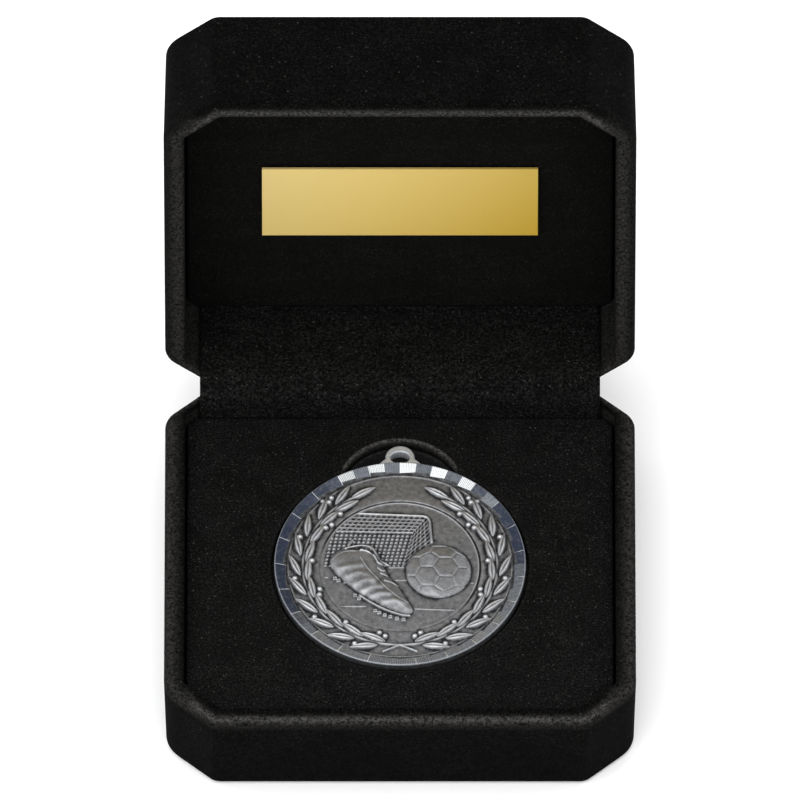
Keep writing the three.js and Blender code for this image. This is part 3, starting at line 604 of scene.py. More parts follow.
def tray_pad():
    """The velvet-faced pad, rolled round its edge, its recess and the finger notch, with a painted sheen
    along the rolled edge of the notch and, faintly, of the recess.
    """
    centre = np.array([0, medal_centre.y - hinge.y])
    turns = np.linspace(0, 2 * math.pi, pad_turns, endpoint=False)
    bottom = pad_level - pad_thickness

    def ring(reach, z):
        return at_level(directions(turns) * reach[:, None] + centre, z)

    def hole(margin, z):
        return ring(recess_reach(turns, margin), z)

    def edge(margin, z):
        line = outline(lambda zone: liner_inset(zone) + margin, inner_corners, 0)
        return ring(reach_of(line, centre, turns), z)

    # painted sheen: pale where the pad rolls over into the recess, fading across its face
    painted_sheen = [0.0, 0.0, 0.05, 0.15, 0.4]
    rings = [hole(0, z) for z in np.linspace(bottom, pad_level - pad_round, len(painted_sheen) + 1)[:-1]]
    for rise, run in quarter(8):
        rings.append(hole(pad_round * run, pad_level - pad_round * (1 - rise)))
        painted_sheen.append(0.5 + 0.5 * rise)
    inner, outer = hole(pad_round, pad_level), edge(pad_round, pad_level)
    for share in np.linspace(0, 1, pad_rows)[1:-1]:
        row = inner + (outer - inner) * share ** 1.5
        away = np.hypot(*(row - inner)[:, :2].T)
        row[:, 2] += pad_wave * wobble(row, pad_wave_size, 5) * np.clip(away / pad_wave_start, 0, 1)
        rings.append(row)
        painted_sheen.append(0.75 * math.exp(-share * 30))
    for rise, run in reversed(quarter(6)):
        rings.append(edge(pad_round * run, pad_level - pad_round * (1 - rise)))
    rings += [edge(0, z) for z in np.linspace(pad_level - pad_round, bottom, 5)[1:]]
    painted_sheen += [0.0] * (len(rings) - len(painted_sheen))
    made = ringed("velvet_pad", rings, base_place)
    notched = soft_step(recess_reach(turns, 0) - recess_radius, 0, notch_sheen_ease)
    point_values(made, "painted_sheen", np.array(painted_sheen)[:, None] * (recess_sheen + (1 - recess_sheen) * notched))
    return made


def tray_block():
    """The foam block under the pad, with its pocket below the finger notch."""
    centre = np.array([0, medal_centre.y - hinge.y + notch_offset])
    turns = np.linspace(0, 2 * math.pi, 360, endpoint=False)
    bottom = rim_level - base_height + floor_thickness + seat_gap
    top = pad_level - pad_thickness - seat_gap
    floor = pad_level - notch_depth
    edge = reach_of(outline(liner_inset, inner_corners, 0), centre, turns)
    pocket = np.full(len(turns), notch_radius)
    rows = [(pocket * share, floor) for share in (0.02, 0.4, 0.8, 0.97)]
    rows += [(pocket, floor + (top - floor) * share) for share in (0.06, 0.4, 0.7, 0.95)]
    rows += [(pocket + (edge - pocket) * share, top) for share in (0.02, 0.3, 0.6, 0.98)]
    rows += [(edge, top + (bottom - top) * share) for share in (0.03, 0.3, 0.6, 0.97)]
    rows += [(edge * share, bottom) for share in (0.98, 0.6, 0.3, 0.02)]
    rings = [at_level(directions(turns) * reach[:, None] + centre, z) for reach, z in rows]
    return lofted("foam_block", rings, base_place)


def sheet_pad(name, low, high, roll, wave=0.0):
    """A flat lining piece of the lid, its upper edge rolled and its face a little uneven."""
    line = outline(liner_inset, inner_corners, 0)
    middle = np.array([0, line[:, 1].mean()])

    def ring(share, inset, z):
        made = outline(lambda zone: liner_inset(zone) + inset, inner_corners, z)
        made[:, :2] = middle + (made[:, :2] - middle) * share
        return made

    rings = [ring(share, 0, low) for share in (0.02, 0.5, 0.98)]
    rings += [ring(1, 0, low + (high - roll - low) * share) for share in (0.1, 0.5, 0.9)]
    rings += [ring(1, roll * run, high - roll * (1 - rise)) for rise, run in quarter(6)]
    for share in np.linspace(1, 0.02, 40)[1:]:
        row = ring(share, roll, high)
        row[:, 2] += wave * wobble(row, panel_wave_size, 8) * min(1, (1 - share) * 12)
        rings.append(row)
    return lofted(name, rings, lid_place)


def hinge_strip():
    """The velvet strip over the hinge, from behind the pad to behind the lid's lining.

    It comes with the turns of its route and with its flat size.
    """
    middle = flap_face - flap_thickness / 2
    corner = rim_level + flap_bend

    def in_lid(y, z):
        along = y * math.cos(open_angle) + z * math.sin(open_angle)
        return np.array([along, z * math.cos(open_angle) - y * math.sin(open_angle)])

    def bend(before, turn, after):
        start = turn + (before - turn) * flap_bend / np.linalg.norm(before - turn)
        end = turn + (after - turn) * flap_bend / np.linalg.norm(after - turn)
        return [start * (1 - t) ** 2 + turn * 2 * t * (1 - t) + end * t ** 2 for t in np.linspace(0, 1, 9)]

    turns = [
        np.array([-middle, pad_level - flap_tuck]),
        np.array([-middle, corner]),
        in_lid(-middle, -corner),
        in_lid(-middle, -panel_level + flap_tuck),
    ]
    base_bend = bend(*turns[:3])
    lid_bend = bend(*turns[1:])
    path = between(turns[0], turns[1], np.linspace(0, 0.72, 12)[:-1]) + base_bend
    path += between(base_bend[-1], lid_bend[0], np.linspace(0, 1, 8)[1:-1]) + lid_bend
    path += between(lid_bend[-1], turns[3], np.linspace(0, 1, 40)[1:])
    path = np.array(path)
    along = np.gradient(path, axis=0)
    along /= np.linalg.norm(along, axis=1)[:, None]
    side = np.stack([-along[:, 1], along[:, 0]], axis=-1) * flap_thickness / 2
    behind = flap_face - flap_thickness
    clip_at = half_width - back_clip_width + behind * back_clip_width / back_clip_depth
    half = clip_at - back_wall * math.hypot(back_clip_width, back_clip_depth) / back_clip_depth - flap_fit
    loops = []
    for x in np.linspace(half, -half, 160):
        thin = 1 - flap_hem_share * math.exp(-(half - abs(x)) / flap_hem)
        flat = np.concatenate([path + side * thin, (path - side * thin)[::-1]])
        loops.append(np.column_stack([np.full(len(flat), x), flat]))
    made = lofted("hinge_velvet", loops, base_place)
    length = np.linalg.norm(np.diff(path, axis=0), axis=1).sum()
    return made, turns, (2 * half, length)


# Relief on the medal: heights above its field at places from its centre, x to the right and y to the back

def line_distance(x, y, points):
    """Distance from an open line through points."""
    nearest = np.full(x.shape, np.inf)
    for (ax, ay), (bx, by) in zip(points[:-1], points[1:]):
        run, rise = bx - ax, by - ay
        share = np.clip(((x - ax) * run + (y - ay) * rise) / (run * run + rise * rise), 0, 1)
        nearest = np.minimum(nearest, np.hypot(x - ax - share * run, y - ay - share * rise))
    return nearest


def shape_distance(x, y, points):
    """Distance from a closed outline, positive inside it."""
    inside = np.zeros(x.shape, bool)
    for (ax, ay), (bx, by) in zip(points, np.roll(points, -1, axis=0)):
        if ay != by:
            inside ^= ((ay > y) != (by > y)) & (x < (bx - ax) * (y - ay) / (by - ay) + ax)
    away = line_distance(x, y, [*points, points[0]])
    return np.where(inside, away, -away)


def curve_through(points, steps=8, closed=False):
    """A smooth curve through points that were given."""
    points = np.asarray(points, float)
    count = len(points)
    made = []
    for i in range(count if closed else count - 1):
        near = np.arange(i - 1, i + 3)
        p0, p1, p2, p3 = points[near % count if closed else np.clip(near, 0, count - 1)]
        swing = 2 * p0 - 5 * p1 + 4 * p2 - p3
        twist = 3 * p1 - p0 - 3 * p2 + p3
        for t in np.linspace(0, 1, steps + 1)[:-1]:
            made.append(p1 + ((p2 - p0) * t + swing * t * t + twist * t ** 3) / 2)
    if not closed:
        made.append(points[-1])
    return np.array(made)


def ridge(distance, width, height):
    """A rounded raised line."""
    return height * np.sqrt(np.clip(1 - (2 * distance / width) ** 2, 0, 1))


def raised_line(x, y, points, width, height):
    return ridge(line_distance(x, y, points), width, height)


def soft_step(value, low, high):
    share = np.clip((value - low) / (high - low), 0, 1)
    return share * share * (3 - 2 * share)


def leaf_height(x, y, root, heading):
    """A laurel leaf: two swelling lobes beside a sunk midrib."""
    along = ((x - root[0]) * math.cos(heading) + (y - root[1]) * math.sin(heading)) / leaf_length
    across = -(x - root[0]) * math.sin(heading) + (y - root[1]) * math.cos(heading)
    share = np.clip(along, 0, 1)
    half = np.maximum(leaf_width / 2 * np.sin(math.pi * share ** 0.8) ** 0.85, 1e-9)
    side = np.abs(across) / half
    lobes = np.sqrt(np.clip(1 - side ** 2, 0, 1)) * 0.75 + 0.25 - 0.5 * np.exp(-((side / 0.2) ** 2))
    swell = 0.45 + 0.55 * np.sin(math.pi * share)
    return np.where((along > 0) & (along < 1) & (side < 1), leaf_rise * lobes * swell, 0)


def branch_height(x, y, sign):
    """One laurel branch, from the crossed stems at the bottom up one side of the scene."""

    def place(degrees, radius):
        angle = math.radians(degrees)
        return np.array([sign * radius * math.sin(angle), -radius * math.cos(angle)])

    def heading(degrees):
        return math.radians(degrees) * sign + (0 if sign > 0 else math.pi)

    stem = [place(degrees, wreath_radius) for degrees in np.linspace(0, wreath_end, 40)]
    stem.insert(0, place(-wreath_cross, wreath_radius + stem_flare))
    height = np.maximum(0, raised_line(x, y, stem, stem_width, stem_rise))
    step = (wreath_end - wreath_start) / leaf_pairs
    for i in range(leaf_pairs):
        degrees = wreath_start + i * step
        for out in (-1, 1):
            root = place(degrees + leaf_stagger * (out > 0), wreath_radius + out * leaf_spread)
            height = np.maximum(height, leaf_height(x, y, root, heading(degrees) - sign * out * leaf_turn))
        # A berry's share of the way to the next leaves, its side of the stem, and its radii further out
        berries = [(0.15, 1, 0)] if i % 2 else [(0.05, -1, 0)]
        if i % 4 == 0:
            berries.append((0.35, -1, 0.9))
        if i == leaf_pairs - 1:
            berries += [(0.1, -1, 0), (0.35, 1, 0.8), (0.0, 1, 1.6)]
        for share, out, more in berries:
            off = out * (berry_offset + more * berry_radius)
            centre = place(degrees + share * step, wreath_radius + off)
            bead = 1 - (np.hypot(x - centre[0], y - centre[1]) / berry_radius) ** 2
            height = np.maximum(height, berry_rise * np.sqrt(np.clip(bead, 0, 1)))
    return np.maximum(height, leaf_height(x, y, place(wreath_end, wreath_radius), heading(wreath_end)))


def ball_panels():
    """Outward directions of a football's five-sided and six-sided panels, with a six-sided one on top."""
    golden = (1 + math.sqrt(5)) / 2
    fives = []
    for a in (-1, 1):
        for b in (-golden, golden):
            fives += [(0, a, b), (a, b, 0), (b, 0, a)]
    fives = np.array(fives)
    sixes = []
    for i, j, k in ((i, j, k) for i in range(12) for j in range(i) for k in range(j)):
        if max(np.linalg.norm(fives[m] - fives[n]) for m, n in ((i, j), (j, k), (i, k))) < 2.1:
            sixes.append(fives[i] + fives[j] + fives[k])
    fives = fives / np.linalg.norm(fives, axis=1)[:, None]
    sixes = np.array(sixes) / np.linalg.norm(sixes, axis=1)[:, None]
    top = sixes[0]
    near = fives[np.argmax(fives @ top)]
    front = top * (near @ top) - near
    front /= np.linalg.norm(front)
    lean = Matrix.Rotation(ball_lean, 3, "Y") @ Matrix.Rotation(ball_nod, 3, "X")
    turned = np.array(lean) @ np.stack([np.cross(front, top), front, top])
    return fives @ turned.T, sixes @ turned.T


def ball_relief(x, y, seam_fill):
    """The ball's dome with its seams sunk or, by a share, filled; its five-sided panels are stippled."""
    across = (x - ball_centre[0]) / ball_radius
    back = (y - ball_centre[1]) / ball_radius
    level = np.sqrt(np.clip(1 - across ** 2 - back ** 2, 0, 1))
    fives, sixes = ball_panels()
    towards = np.stack([across, back, level], axis=-1)
    scores = (towards @ fives.T / five_panel_share, towards @ sixes.T / six_panel_share)
    scores = np.concatenate(scores, axis=-1)
    order = np.sort(scores, axis=-1)
    seam = order[..., -1] - order[..., -2]
    five_sided = np.argmax(scores, axis=-1) < len(fives)
    height = ball_edge + (ball_rise - ball_edge) * level ** ball_fullness
    height -= (1 - seam_fill) * seam_depth * np.exp(-((seam / seam_share) ** 2))
    height += np.where(five_sided & (seam > 2 * seam_share), stipple(x, y, stipple_pitch, stipple_rise), 0)
    return np.where(across ** 2 + back ** 2 < 1, height, 0)


def stipple(x, y, pitch, height):
    return height * np.sin(2 * math.pi * x / pitch) * np.sin(2 * math.pi * y / pitch)


def quad_shares(x, y, corners):
    """Where a place lies in a four-sided panel, as shares along and down it, or -1 where none fits."""
    a, b, c, d = (np.asarray(p, float) for p in corners)
    u = np.full(x.shape, 0.5)
    v = np.full(x.shape, 0.5)
    for _ in range(8):
        skew = a - b + c - d
        off_x = a[0] + (b[0] - a[0]) * u + (d[0] - a[0]) * v + skew[0] * u * v - x
        off_y = a[1] + (b[1] - a[1]) * u + (d[1] - a[1]) * v + skew[1] * u * v - y
        ux = (b[0] - a[0]) + skew[0] * v
        uy = (b[1] - a[1]) + skew[1] * v
        vx = (d[0] - a[0]) + skew[0] * u
        vy = (d[1] - a[1]) + skew[1] * u
        turn = ux * vy - uy * vx
        turn = np.where(np.abs(turn) < 1e-12, 1e-12, turn)
        u = np.clip(u - (off_x * vy - off_y * vx) / turn, -0.5, 1.5)
        v = np.clip(v - (ux * off_y - uy * off_x) / turn, -0.5, 1.5)
    return np.where(np.hypot(off_x, off_y) < post_width / 20, u, -1), v


def net(x, y, corners, meshes, cord, knots):
    """A panel of netting: raised cords, or mostly raised knots where they cross."""
    u, v = quad_shares(x, y, corners)
    beside = [np.abs((share * count + 0.5) % 1 - 0.5) for share, count in zip((u, v), meshes)]
    along, down = (np.clip(1 - away / cord, 0, 1) for away in beside)
    height = (1 - knots) * np.sqrt(np.maximum(along, down)) + knots * np.sqrt(along * down)
    return np.where((u >= 0) & (u <= 1) & (v >= 0) & (v <= 1), net_rise * height, 0)


def goal_relief(x, y):
    """The goal: its bar and post with their rounded corner, two thinner bars, and its nets."""
    bar = [goal_back_left, *curve_through(goal_corner, 6), goal_post_foot]
    height = raised_line(x, y, bar, post_width, post_rise)
    for far in (goal_back_left, goal_front_right):
        height = np.maximum(height, raised_line(x, y, [goal_front_left, far], post_width / 2, net_rise))
    for corners, meshes, cord, knots, share in goal_nets:
        height = np.maximum(height, share * net(x, y, corners, meshes, cord, knots))
    return height


def boot_relief(x, y):
    """A football boot on its side: a swelling upper with folds, a seam, a laced throat and a studded sole."""
    x, y = boot_unit * x, boot_unit * y
    near = (x > -15) & (x < 4) & (y > -15) & (y < 8)
    height = np.zeros(x.shape)
    x, y = x[near], y[near]

    def away_from(line):
        return line_distance(x, y, curve_through(line)) / boot_unit

    body = shape_distance(x, y, curve_through(boot_outline, closed=True)) / boot_unit
    mouth = shape_distance(x, y, curve_through(boot_mouth, closed=True)) / boot_unit
    swell = np.clip(body / boot_swell, 0, 1)
    upper = boot_edge + (boot_rise - boot_edge) * (1 - (1 - swell) ** 2) ** 0.7
    for fold in boot_folds:
        upper += fold_rise * np.exp(-((away_from(fold) / fold_width) ** 2))
    made = np.where(body > 0, upper - mouth_depth * soft_step(mouth, *mouth_ease), 0)
    for width, rise, line in boot_ridges + [(lace_width, lace_rise, lace) for lace in boot_laces]:
        made += ridge(away_from(line), width, rise)
    made = np.maximum(made, ridge(away_from(boot_sole), welt_width, welt_rise))
    for stud_x, stud_y in boot_studs:
        ahead = 2 * np.abs(x - stud_x) / boot_unit / stud_size[0]
        below = 2 * np.abs(y - stud_y) / boot_unit / stud_size[1]
        away = 1 - np.maximum(ahead, below)
        made = np.maximum(made, stud_rise * (soft_step(away, 0, 0.3) - 0.7 * soft_step(away, 0.4, 0.7)))
    height[near] = made
    return height


def scene_relief(x, y, seam_fill=0):
    """The whole scene: goal and ground, the ball before them, and the boot, on a pebbled field."""
    height = goal_relief(x, y)
    for line in ground_lines:
        height = np.maximum(height, raised_line(x, y, line, ground_width, ground_rise))
    ball = ball_relief(x, y, seam_fill)
    height = np.maximum(np.where(ball > 0, ball, height), boot_relief(x, y))
    grain = stipple(x + 0.3 * y, y - 0.2 * x, pebble_pitch, pebble_rise)
    return np.where(height < pebble_rise, grain, height)


def wreath_relief(x, y):
    """The band outside the scene: the wreath, the line round the scene, and the cove and bead by the rim."""
    height = np.maximum(branch_height(x, y, 1), branch_height(x, y, -1))
    radius = np.hypot(x, y)
    cove = cove_rise * np.clip((radius - wall_foot + cove_width) / cove_width, 0, 1) ** 2
    height = np.maximum(height, cove + ridge(np.abs(radius - bead_radius), bead_width, bead_rise))
    line = ridge(np.abs(radius - scene_radius), scene_line_width, scene_line_rise)
    line -= ridge(np.abs(radius - scene_radius - scene_line_width), 1.4 * scene_line_width, scene_groove)
    line *= line_least + (1 - line_least) * soft_step(y + 0.5 * x, *line_fade)
    return np.where(height > np.abs(line), height, line)


def blurred(values, cells, wrap):
    """A running mean in both directions, run twice; wrap tells which directions go round."""
    for axis in (0, 0, 1, 1):
        pad = [(0, 0), (0, 0)]
        pad[axis] = (cells, cells)
        padded = np.pad(values, pad, mode="wrap" if wrap[axis] else "edge")
        total = np.insert(np.cumsum(padded, axis=axis), 0, 0, axis=axis)
        span = 2 * cells + 1
        ahead = np.take(total, np.arange(span, total.shape[axis]), axis=axis)
        values = (ahead - np.take(total, np.arange(total.shape[axis] - span), axis=axis)) / span
    return values


def worn(height, cells, wrap):
    """How bright the antique finish is rubbed: high places polished, corners dark."""
    above = (height - blurred(height, cells, wrap)) / wear_depth
    raised = soft_step(height, raised_from, raised_to)
    gained = np.where(above > 0, high_wear, low_wear) * above + raised_wear * raised
    return np.clip(field_wear + gained, 0, 1)


def disc_grid(cells, radius):
    """A square grid of places pressed into a disc, whose edge is a full circle."""
    line = np.linspace(-1, 1, cells + 1)
    a, b = np.meshgrid(line, line)
    wide = np.abs(a) > np.abs(b)
    big = np.where(wide, a, b)
    turn = math.pi / 4 * np.where(wide, b, a) / np.where(big == 0, 1, big)
    x = radius * big * np.where(wide, np.cos(turn), np.sin(turn))
    y = radius * big * np.where(wide, np.sin(turn), np.cos(turn))
    return x, y


def scene_plate():
    """The middle of the medal, as a fine grid raised into the scene."""
    x, y = disc_grid(scene_cells, scene_edge)
    top = np.stack([x, y, field_level + scene_relief(x, y)], axis=-1).reshape(-1, 3)
    index = np.arange(x.size).reshape(x.shape)
    quads = np.stack([index[:-1, :-1], index[:-1, 1:], index[1:, 1:], index[1:, :-1]], axis=-1).reshape(-1, 4)
    rim = np.concatenate([index[0, :-1], index[:-1, -1], index[-1, :0:-1], index[:0:-1, 0]])
    under = x.size + np.arange(len(rim))
    skirt = np.stack([np.roll(rim, -1), rim, under, np.roll(under, -1)], axis=-1)
    points = np.concatenate([top, at_level(top[rim, :2], field_level - scene_root)])
    faces = quads.tolist() + skirt.tolist() + [under[::-1].tolist()]
    made = piece("medal_scene", points, faces, medal_place)
    wear = worn(scene_relief(x, y, seam_wear_fill), scene_wear_cells, (False, False))
    point_values(made, "wear", np.append(wear, np.full(len(rim), field_wear)))
    return made


# Medal

def painted_facet_reflection(flat):
    """How bright a flat's painted reflection is: bright and dull by turns near the loop, dull at the left,
    paler elsewhere.
    """
    degrees = (flat + 0.5) / facet_count * 360
    from_loop = min(left_stretch * degrees, right_stretch * (360 - degrees))
    painted_reflection = soft_step(from_loop, *bright_reflection_end) * (1 if flat % 2 else dark_reflection_tone)
    for start, end in pale_reflection_spans:
        painted_reflection += pale_reflection_tone * soft_step(degrees, *start) * soft_step(degrees, *end)
    return painted_reflection


def facet_rings():
    """Angles round the medal, the edges of the flats cut into its rim, and the painted reflection at each
    place.

    Each flat lies in one plane, and a thin painted highlight runs where two flats meet.
    """
    facet = 2 * math.pi / facet_count
    share = np.linspace(0, 1, facet_points)
    edge = medal_radius - crest_ease
    chord = edge * math.cos(facet / 2)
    angles, outer, inner, painted_reflections = [], [], [], []
    for flat in range(facet_count):
        mirrored = flat >= facet_count / 2
        stepped = (flat % 2 == 1) == mirrored
        narrowing = np.array([flat % 2, flat % 2 + 1]) / 2
        narrowing = 1 - narrowing if mirrored else narrowing
        start_width, end_width = facet_wide + (facet_narrow - facet_wide) * narrowing
        slope = math.tan(facet_slope + (facet_slope_step if stepped else -facet_slope_step))
        first = math.pi / 2 + flat * facet
        turns = np.append(first, first + facet_gap + (facet - 2 * facet_gap) * share)
        rim = directions(turns) * edge
        meeting, start = rim[:2] * (medal_radius - start_width) / edge
        end = rim[-1] * (medal_radius - end_width) / edge
        cut_edge = np.vstack([meeting, start + (end - start) * share[:, None]])
        # painted reflection of this flat, streaked along it
        painted_reflection = painted_facet_reflection(flat)
        streaks = 1 + streak_share * np.sin(np.arange(facet_points) * streak_turn + flat)
        angles.append(turns)
        painted_reflections.append(np.append(line_highlight_tone if stepped else painted_reflection, painted_reflection * streaks))
        for made, places in ((outer, rim), (inner, cut_edge)):
            fall = (chord - places @ directions(first + facet / 2)) * slope
            made.append(np.column_stack([places, medal_height - fall]))
    return tuple(np.concatenate(part) for part in (angles, outer, inner, painted_reflections))


def medal_body():
    """The medal outside its scene: underside, edge, cut flats, and the band with the wreath."""
    angles, outer, inner, painted_reflections = facet_rings()
    ways = directions(angles)
    count = len(angles)

    def circle(radius, z):
        return at_level(ways * radius, z)

    rings = [
        circle(medal_radius * 0.02, under_recess),
        circle(medal_radius - under_lip - under_recess, under_recess),
        circle(medal_radius - under_lip, 0),
        circle(medal_radius - under_chamfer, 0),
        circle(medal_radius, under_chamfer),
        circle(medal_radius, medal_height - crest_ease),
        circle(medal_radius - 0.3 * crest_ease, medal_height - 0.3 * crest_ease),
    ]
    facet_row = len(rings)
    rings += [outer, inner, inner - at_level(ways * lip_width, lip_drop)]
    band_row = len(rings)
    radii = np.linspace(wall_foot, scene_edge - scene_overlap, band_rows)
    x, y = (radii[:, None] * ways[None, :, axis] for axis in (0, 1))
    height = wreath_relief(x, y)
    rings += list(np.stack([x, y, field_level + height], axis=-1))
    rings.append(circle(radii[-1], field_level - scene_root * 0.7))
    made = lofted("medal_body", rings, medal_place)

    wear = np.full((len(rings), count), edge_wear)
    wear[band_row:band_row + band_rows] = worn(height, band_wear_cells, (False, True))
    wear[band_row:band_row + 2] = foot_wear
    point_values(made, "wear", wear)
    # painted reflections on the rim's edge and flats
    painted_reflection = np.full(wear.shape, edge_reflection_tone)
    painted_reflection[facet_row - 2] = dark_reflection_tone
    painted_reflection[facet_row:facet_row + 2] = painted_reflections
    point_values(made, "painted_reflection", painted_reflection)
    dress(made, silver)
    made.data.materials.append(cut_silver)
    smooth, cut_faces = np.ones(len(made.data.polygons), bool), np.zeros(len(made.data.polygons), np.int32)
    smooth[facet_row * count:(facet_row + 3) * count] = False
    cut_faces[(facet_row - 2) * count:(facet_row + 1) * count] = 1
    made.data.polygons.foreach_set("use_smooth", smooth)
    made.data.polygons.foreach_set("material_index", cut_faces)
    return made


def medal_loop():
    """The loop: a flat eye with flared feet, its edges rounded."""
    radius = loop_width / 2
    centre = np.array([0, medal_radius + loop_reach - radius])
    foot = (-loop_foot / 2, medal_radius - loop_sink)
    ankle = (-loop_foot / 2, medal_radius - loop_sink / 3)
    waist = (-loop_width * 0.58, medal_radius + loop_reach * 0.16)
    eye = centre + radius * directions(np.linspace(math.pi * 1.04, -math.pi * 0.04, 24))
    left = np.array([foot, *curve_through([ankle, waist, eye[0]], 6)[:-1]])
    shape = np.concatenate([left, eye, left[::-1] * [-1, 1]]) - centre
    pairs = zip(shape, np.roll(shape, -1, axis=0))
    dense = np.concatenate([np.linspace(here, after, 12)[:-1] for here, after in pairs])
    turns = np.linspace(0, 2 * math.pi, loop_points, endpoint=False)
    ways = directions(turns)
    outer = ways * reach_of(dense, 0, turns)[:, None]
    hole = ways * [loop_hole_width / 2, loop_hole_height / 2]
    low, high = loop_rise, loop_rise + loop_thickness
    rings = []
    corners = [(hole, 1, high, 1), (outer, -1, high, 1), (outer, -1, low, -1), (hole, 1, low, -1)]
    for edge, outward, level, up in corners:
        for rise, run in quarter(4)[::outward * up]:
            flat = edge + outward * ways * loop_ease * run
            rings.append(at_level(flat + centre, level - up * loop_ease * (1 - rise)))
    made = ringed("medal_loop", rings, medal_place)
    point_values(made, "painted_reflection", np.full(len(made.data.vertices), loop_tone))
    dress(made, cut_silver)
    return made


# Materials

def new_material(name, colour, roughness, metallic=0.0):
    material = bpy.data.materials.new(name)
    material.use_nodes = True
    tree = material.node_tree
    shader = tree.nodes["Principled BSDF"]
    shader.inputs["Base Color"].default_value = (*colour, 1)
    shader.inputs["Roughness"].default_value = roughness
    shader.inputs["Metallic"].default_value = metallic
    return material, tree, shader


def add_node(tree, kind, settings=None, values=None, links=None):
    made = tree.nodes.new(kind)
    for name, value in (settings or {}).items():
        setattr(made, name, value)
    for name, value in (values or {}).items():
        made.inputs[name].default_value = value
    for name, socket in (links or {}).items():
        tree.links.new(socket, made.inputs[name])
    return made


def place_of(tree):
    return add_node(tree, "ShaderNodeTexCoord").outputs["Object"]


def noise(tree, size, detail=2.0, rough=0.5):
    """Smooth noise whose features are about size across."""
    values = {"Scale": 1 / size, "Detail": detail, "Roughness": rough}
    made = add_node(tree, "ShaderNodeTexNoise", values=values, links={"Vector": place_of(tree)})
    return made.outputs["Fac"]


def stretch(tree, source, low, high, out_low=0.0, out_high=1.0):
    values = {"From Min": low, "From Max": high, "To Min": out_low, "To Max": out_high}
    return add_node(tree, "ShaderNodeMapRange", values=values, links={"Value": source}).outputs["Result"]


def mix_colour(tree, share, first, second):
    made = add_node(tree, "ShaderNodeMix", settings={"data_type": "RGBA"})
    for number, value in ((0, share), (6, first), (7, second)):
        if isinstance(value, tuple):
            made.inputs[number].default_value = (*value, 1)
        else:
            tree.links.new(value, made.inputs[number])
    return made.outputs[2]


def bump(tree, height, distance, strength=1.0):
    values = {"Distance": distance, "Strength": strength}
    return add_node(tree, "ShaderNodeBump", values=values, links={"Height": height}).outputs["Normal"]


def combined(tree, operation, first, second, clamp=False):
    made = add_node(tree, "ShaderNodeMath", settings={"operation": operation, "use_clamp": clamp})
    tree.links.new(first, made.inputs[0])
    tree.links.new(second, made.inputs[1])
    return made.outputs[0]


def mesh_value(tree, name):
    return add_node(tree, "ShaderNodeAttribute", settings={"attribute_name": name}).outputs["Fac"]


def random_cells(tree, size):
    values = {"Scale": 1 / size}
    return add_node(tree, "ShaderNodeTexVoronoi", values=values, links={"Vector": place_of(tree)})


def feed(tree, shader, colour=None, roughness=None, normal=None):
    """Links what is given to the shader."""
    for name, source in (("Base Color", colour), ("Roughness", roughness), ("Normal", normal)):
        if source is not None:
            tree.links.new(source, shader.inputs[name])


def flecks(tree, spacing, radius, share):
    """Single pale fibres, as small dots in a share of the cells of a random pattern."""
    cells = random_cells(tree, spacing)
    dot = stretch(tree, cells.outputs["Distance"], radius / spacing, radius / spacing * 0.5)
    chosen = stretch(tree, cells.outputs["Color"], 1 - share, 1 - share * 0.5)
    return combined(tree, "MULTIPLY", dot, chosen)


def pile(name, dark, light, fleck, grain, nap, painted_sheen=None):
    """Black flock or velvet: speckled pile, single pale fibres, an optional painted sheen along rims, and a
    faint sheen where seen edge on.
    """
    material, tree, shader = new_material(name, dark, 1.0)
    speckle = stretch(tree, noise(tree, grain, 4.0, 0.9), 0.46, 0.66)
    mottle = stretch(tree, noise(tree, nap, 2.0, 0.6), 0.3, 0.7, 0.45, 1.0)
    colour = mix_colour(tree, combined(tree, "MULTIPLY", speckle, mottle), dark, light)
    # painted sheen: a pale colour mixed in where the mesh's painted sheen value is high, broken up by noise
    if painted_sheen:
        torn = stretch(tree, noise(tree, grain * 1.2, 4.0, 0.9), 0.4, 0.6)
        colour = mix_colour(tree, combined(tree, "MULTIPLY", mesh_value(tree, "painted_sheen"), torn), colour, painted_sheen)
    colour = mix_colour(tree, flecks(tree, 0.0006, 0.0002, 0.4), colour, tuple(1.35 * part for part in light))
    colour = mix_colour(tree, flecks(tree, 0.0013, 0.00024, 0.38), colour, fleck)
    feed(tree, shader, colour, normal=bump(tree, noise(tree, grain * 0.8, 3.0, 0.7), grain * 0.8, 0.9))
    shader.inputs["Specular IOR Level"].default_value = 0.03
    shader.inputs["Sheen Weight"].default_value = 0.004
    shader.inputs["Sheen Roughness"].default_value = 0.4
    shader.inputs["Sheen Tint"].default_value = (0.8, 0.78, 0.75, 1)
    return material


def flock_material():
    return pile(
        "black_flock", dark=(0.0007, 0.0007, 0.00066), light=(0.0098, 0.0096, 0.0092),
        fleck=(0.032, 0.031, 0.029), painted_sheen=(0.075, 0.073, 0.069), grain=0.0005, nap=0.007,
    )


def velvet_material():
    return pile(
        "black_velvet", dark=(0.0022, 0.00215, 0.0021), light=(0.0205, 0.0201, 0.0194),
        fleck=(0.036, 0.035, 0.033), painted_sheen=(0.085, 0.083, 0.078), grain=0.0004, nap=0.006,
    )


def panel_material():
    return pile(
        "lid_velvet", dark=(0.0033, 0.0033, 0.003), light=(0.0145, 0.0143, 0.0132),
        fleck=(0.018, 0.0175, 0.016), grain=0.00045, nap=0.008,
    )


def flap_material():
    return pile(
        "coarse_velvet", dark=(0.002, 0.00195, 0.0019), light=(0.026, 0.0255, 0.0247),
        fleck=(0.046, 0.045, 0.042), grain=0.0006, nap=0.005,
    )


def foam_material():
    material, tree, shader = new_material("grey_foam", (0.012, 0.012, 0.012), 1.0)
    pores = stretch(tree, random_cells(tree, 0.0006).outputs["Distance"], 0.1, 0.6)
    colour = mix_colour(tree, pores, (0.004, 0.004, 0.004), (0.016, 0.016, 0.016))
    feed(tree, shader, colour, normal=bump(tree, pores, 0.0003))
    return material


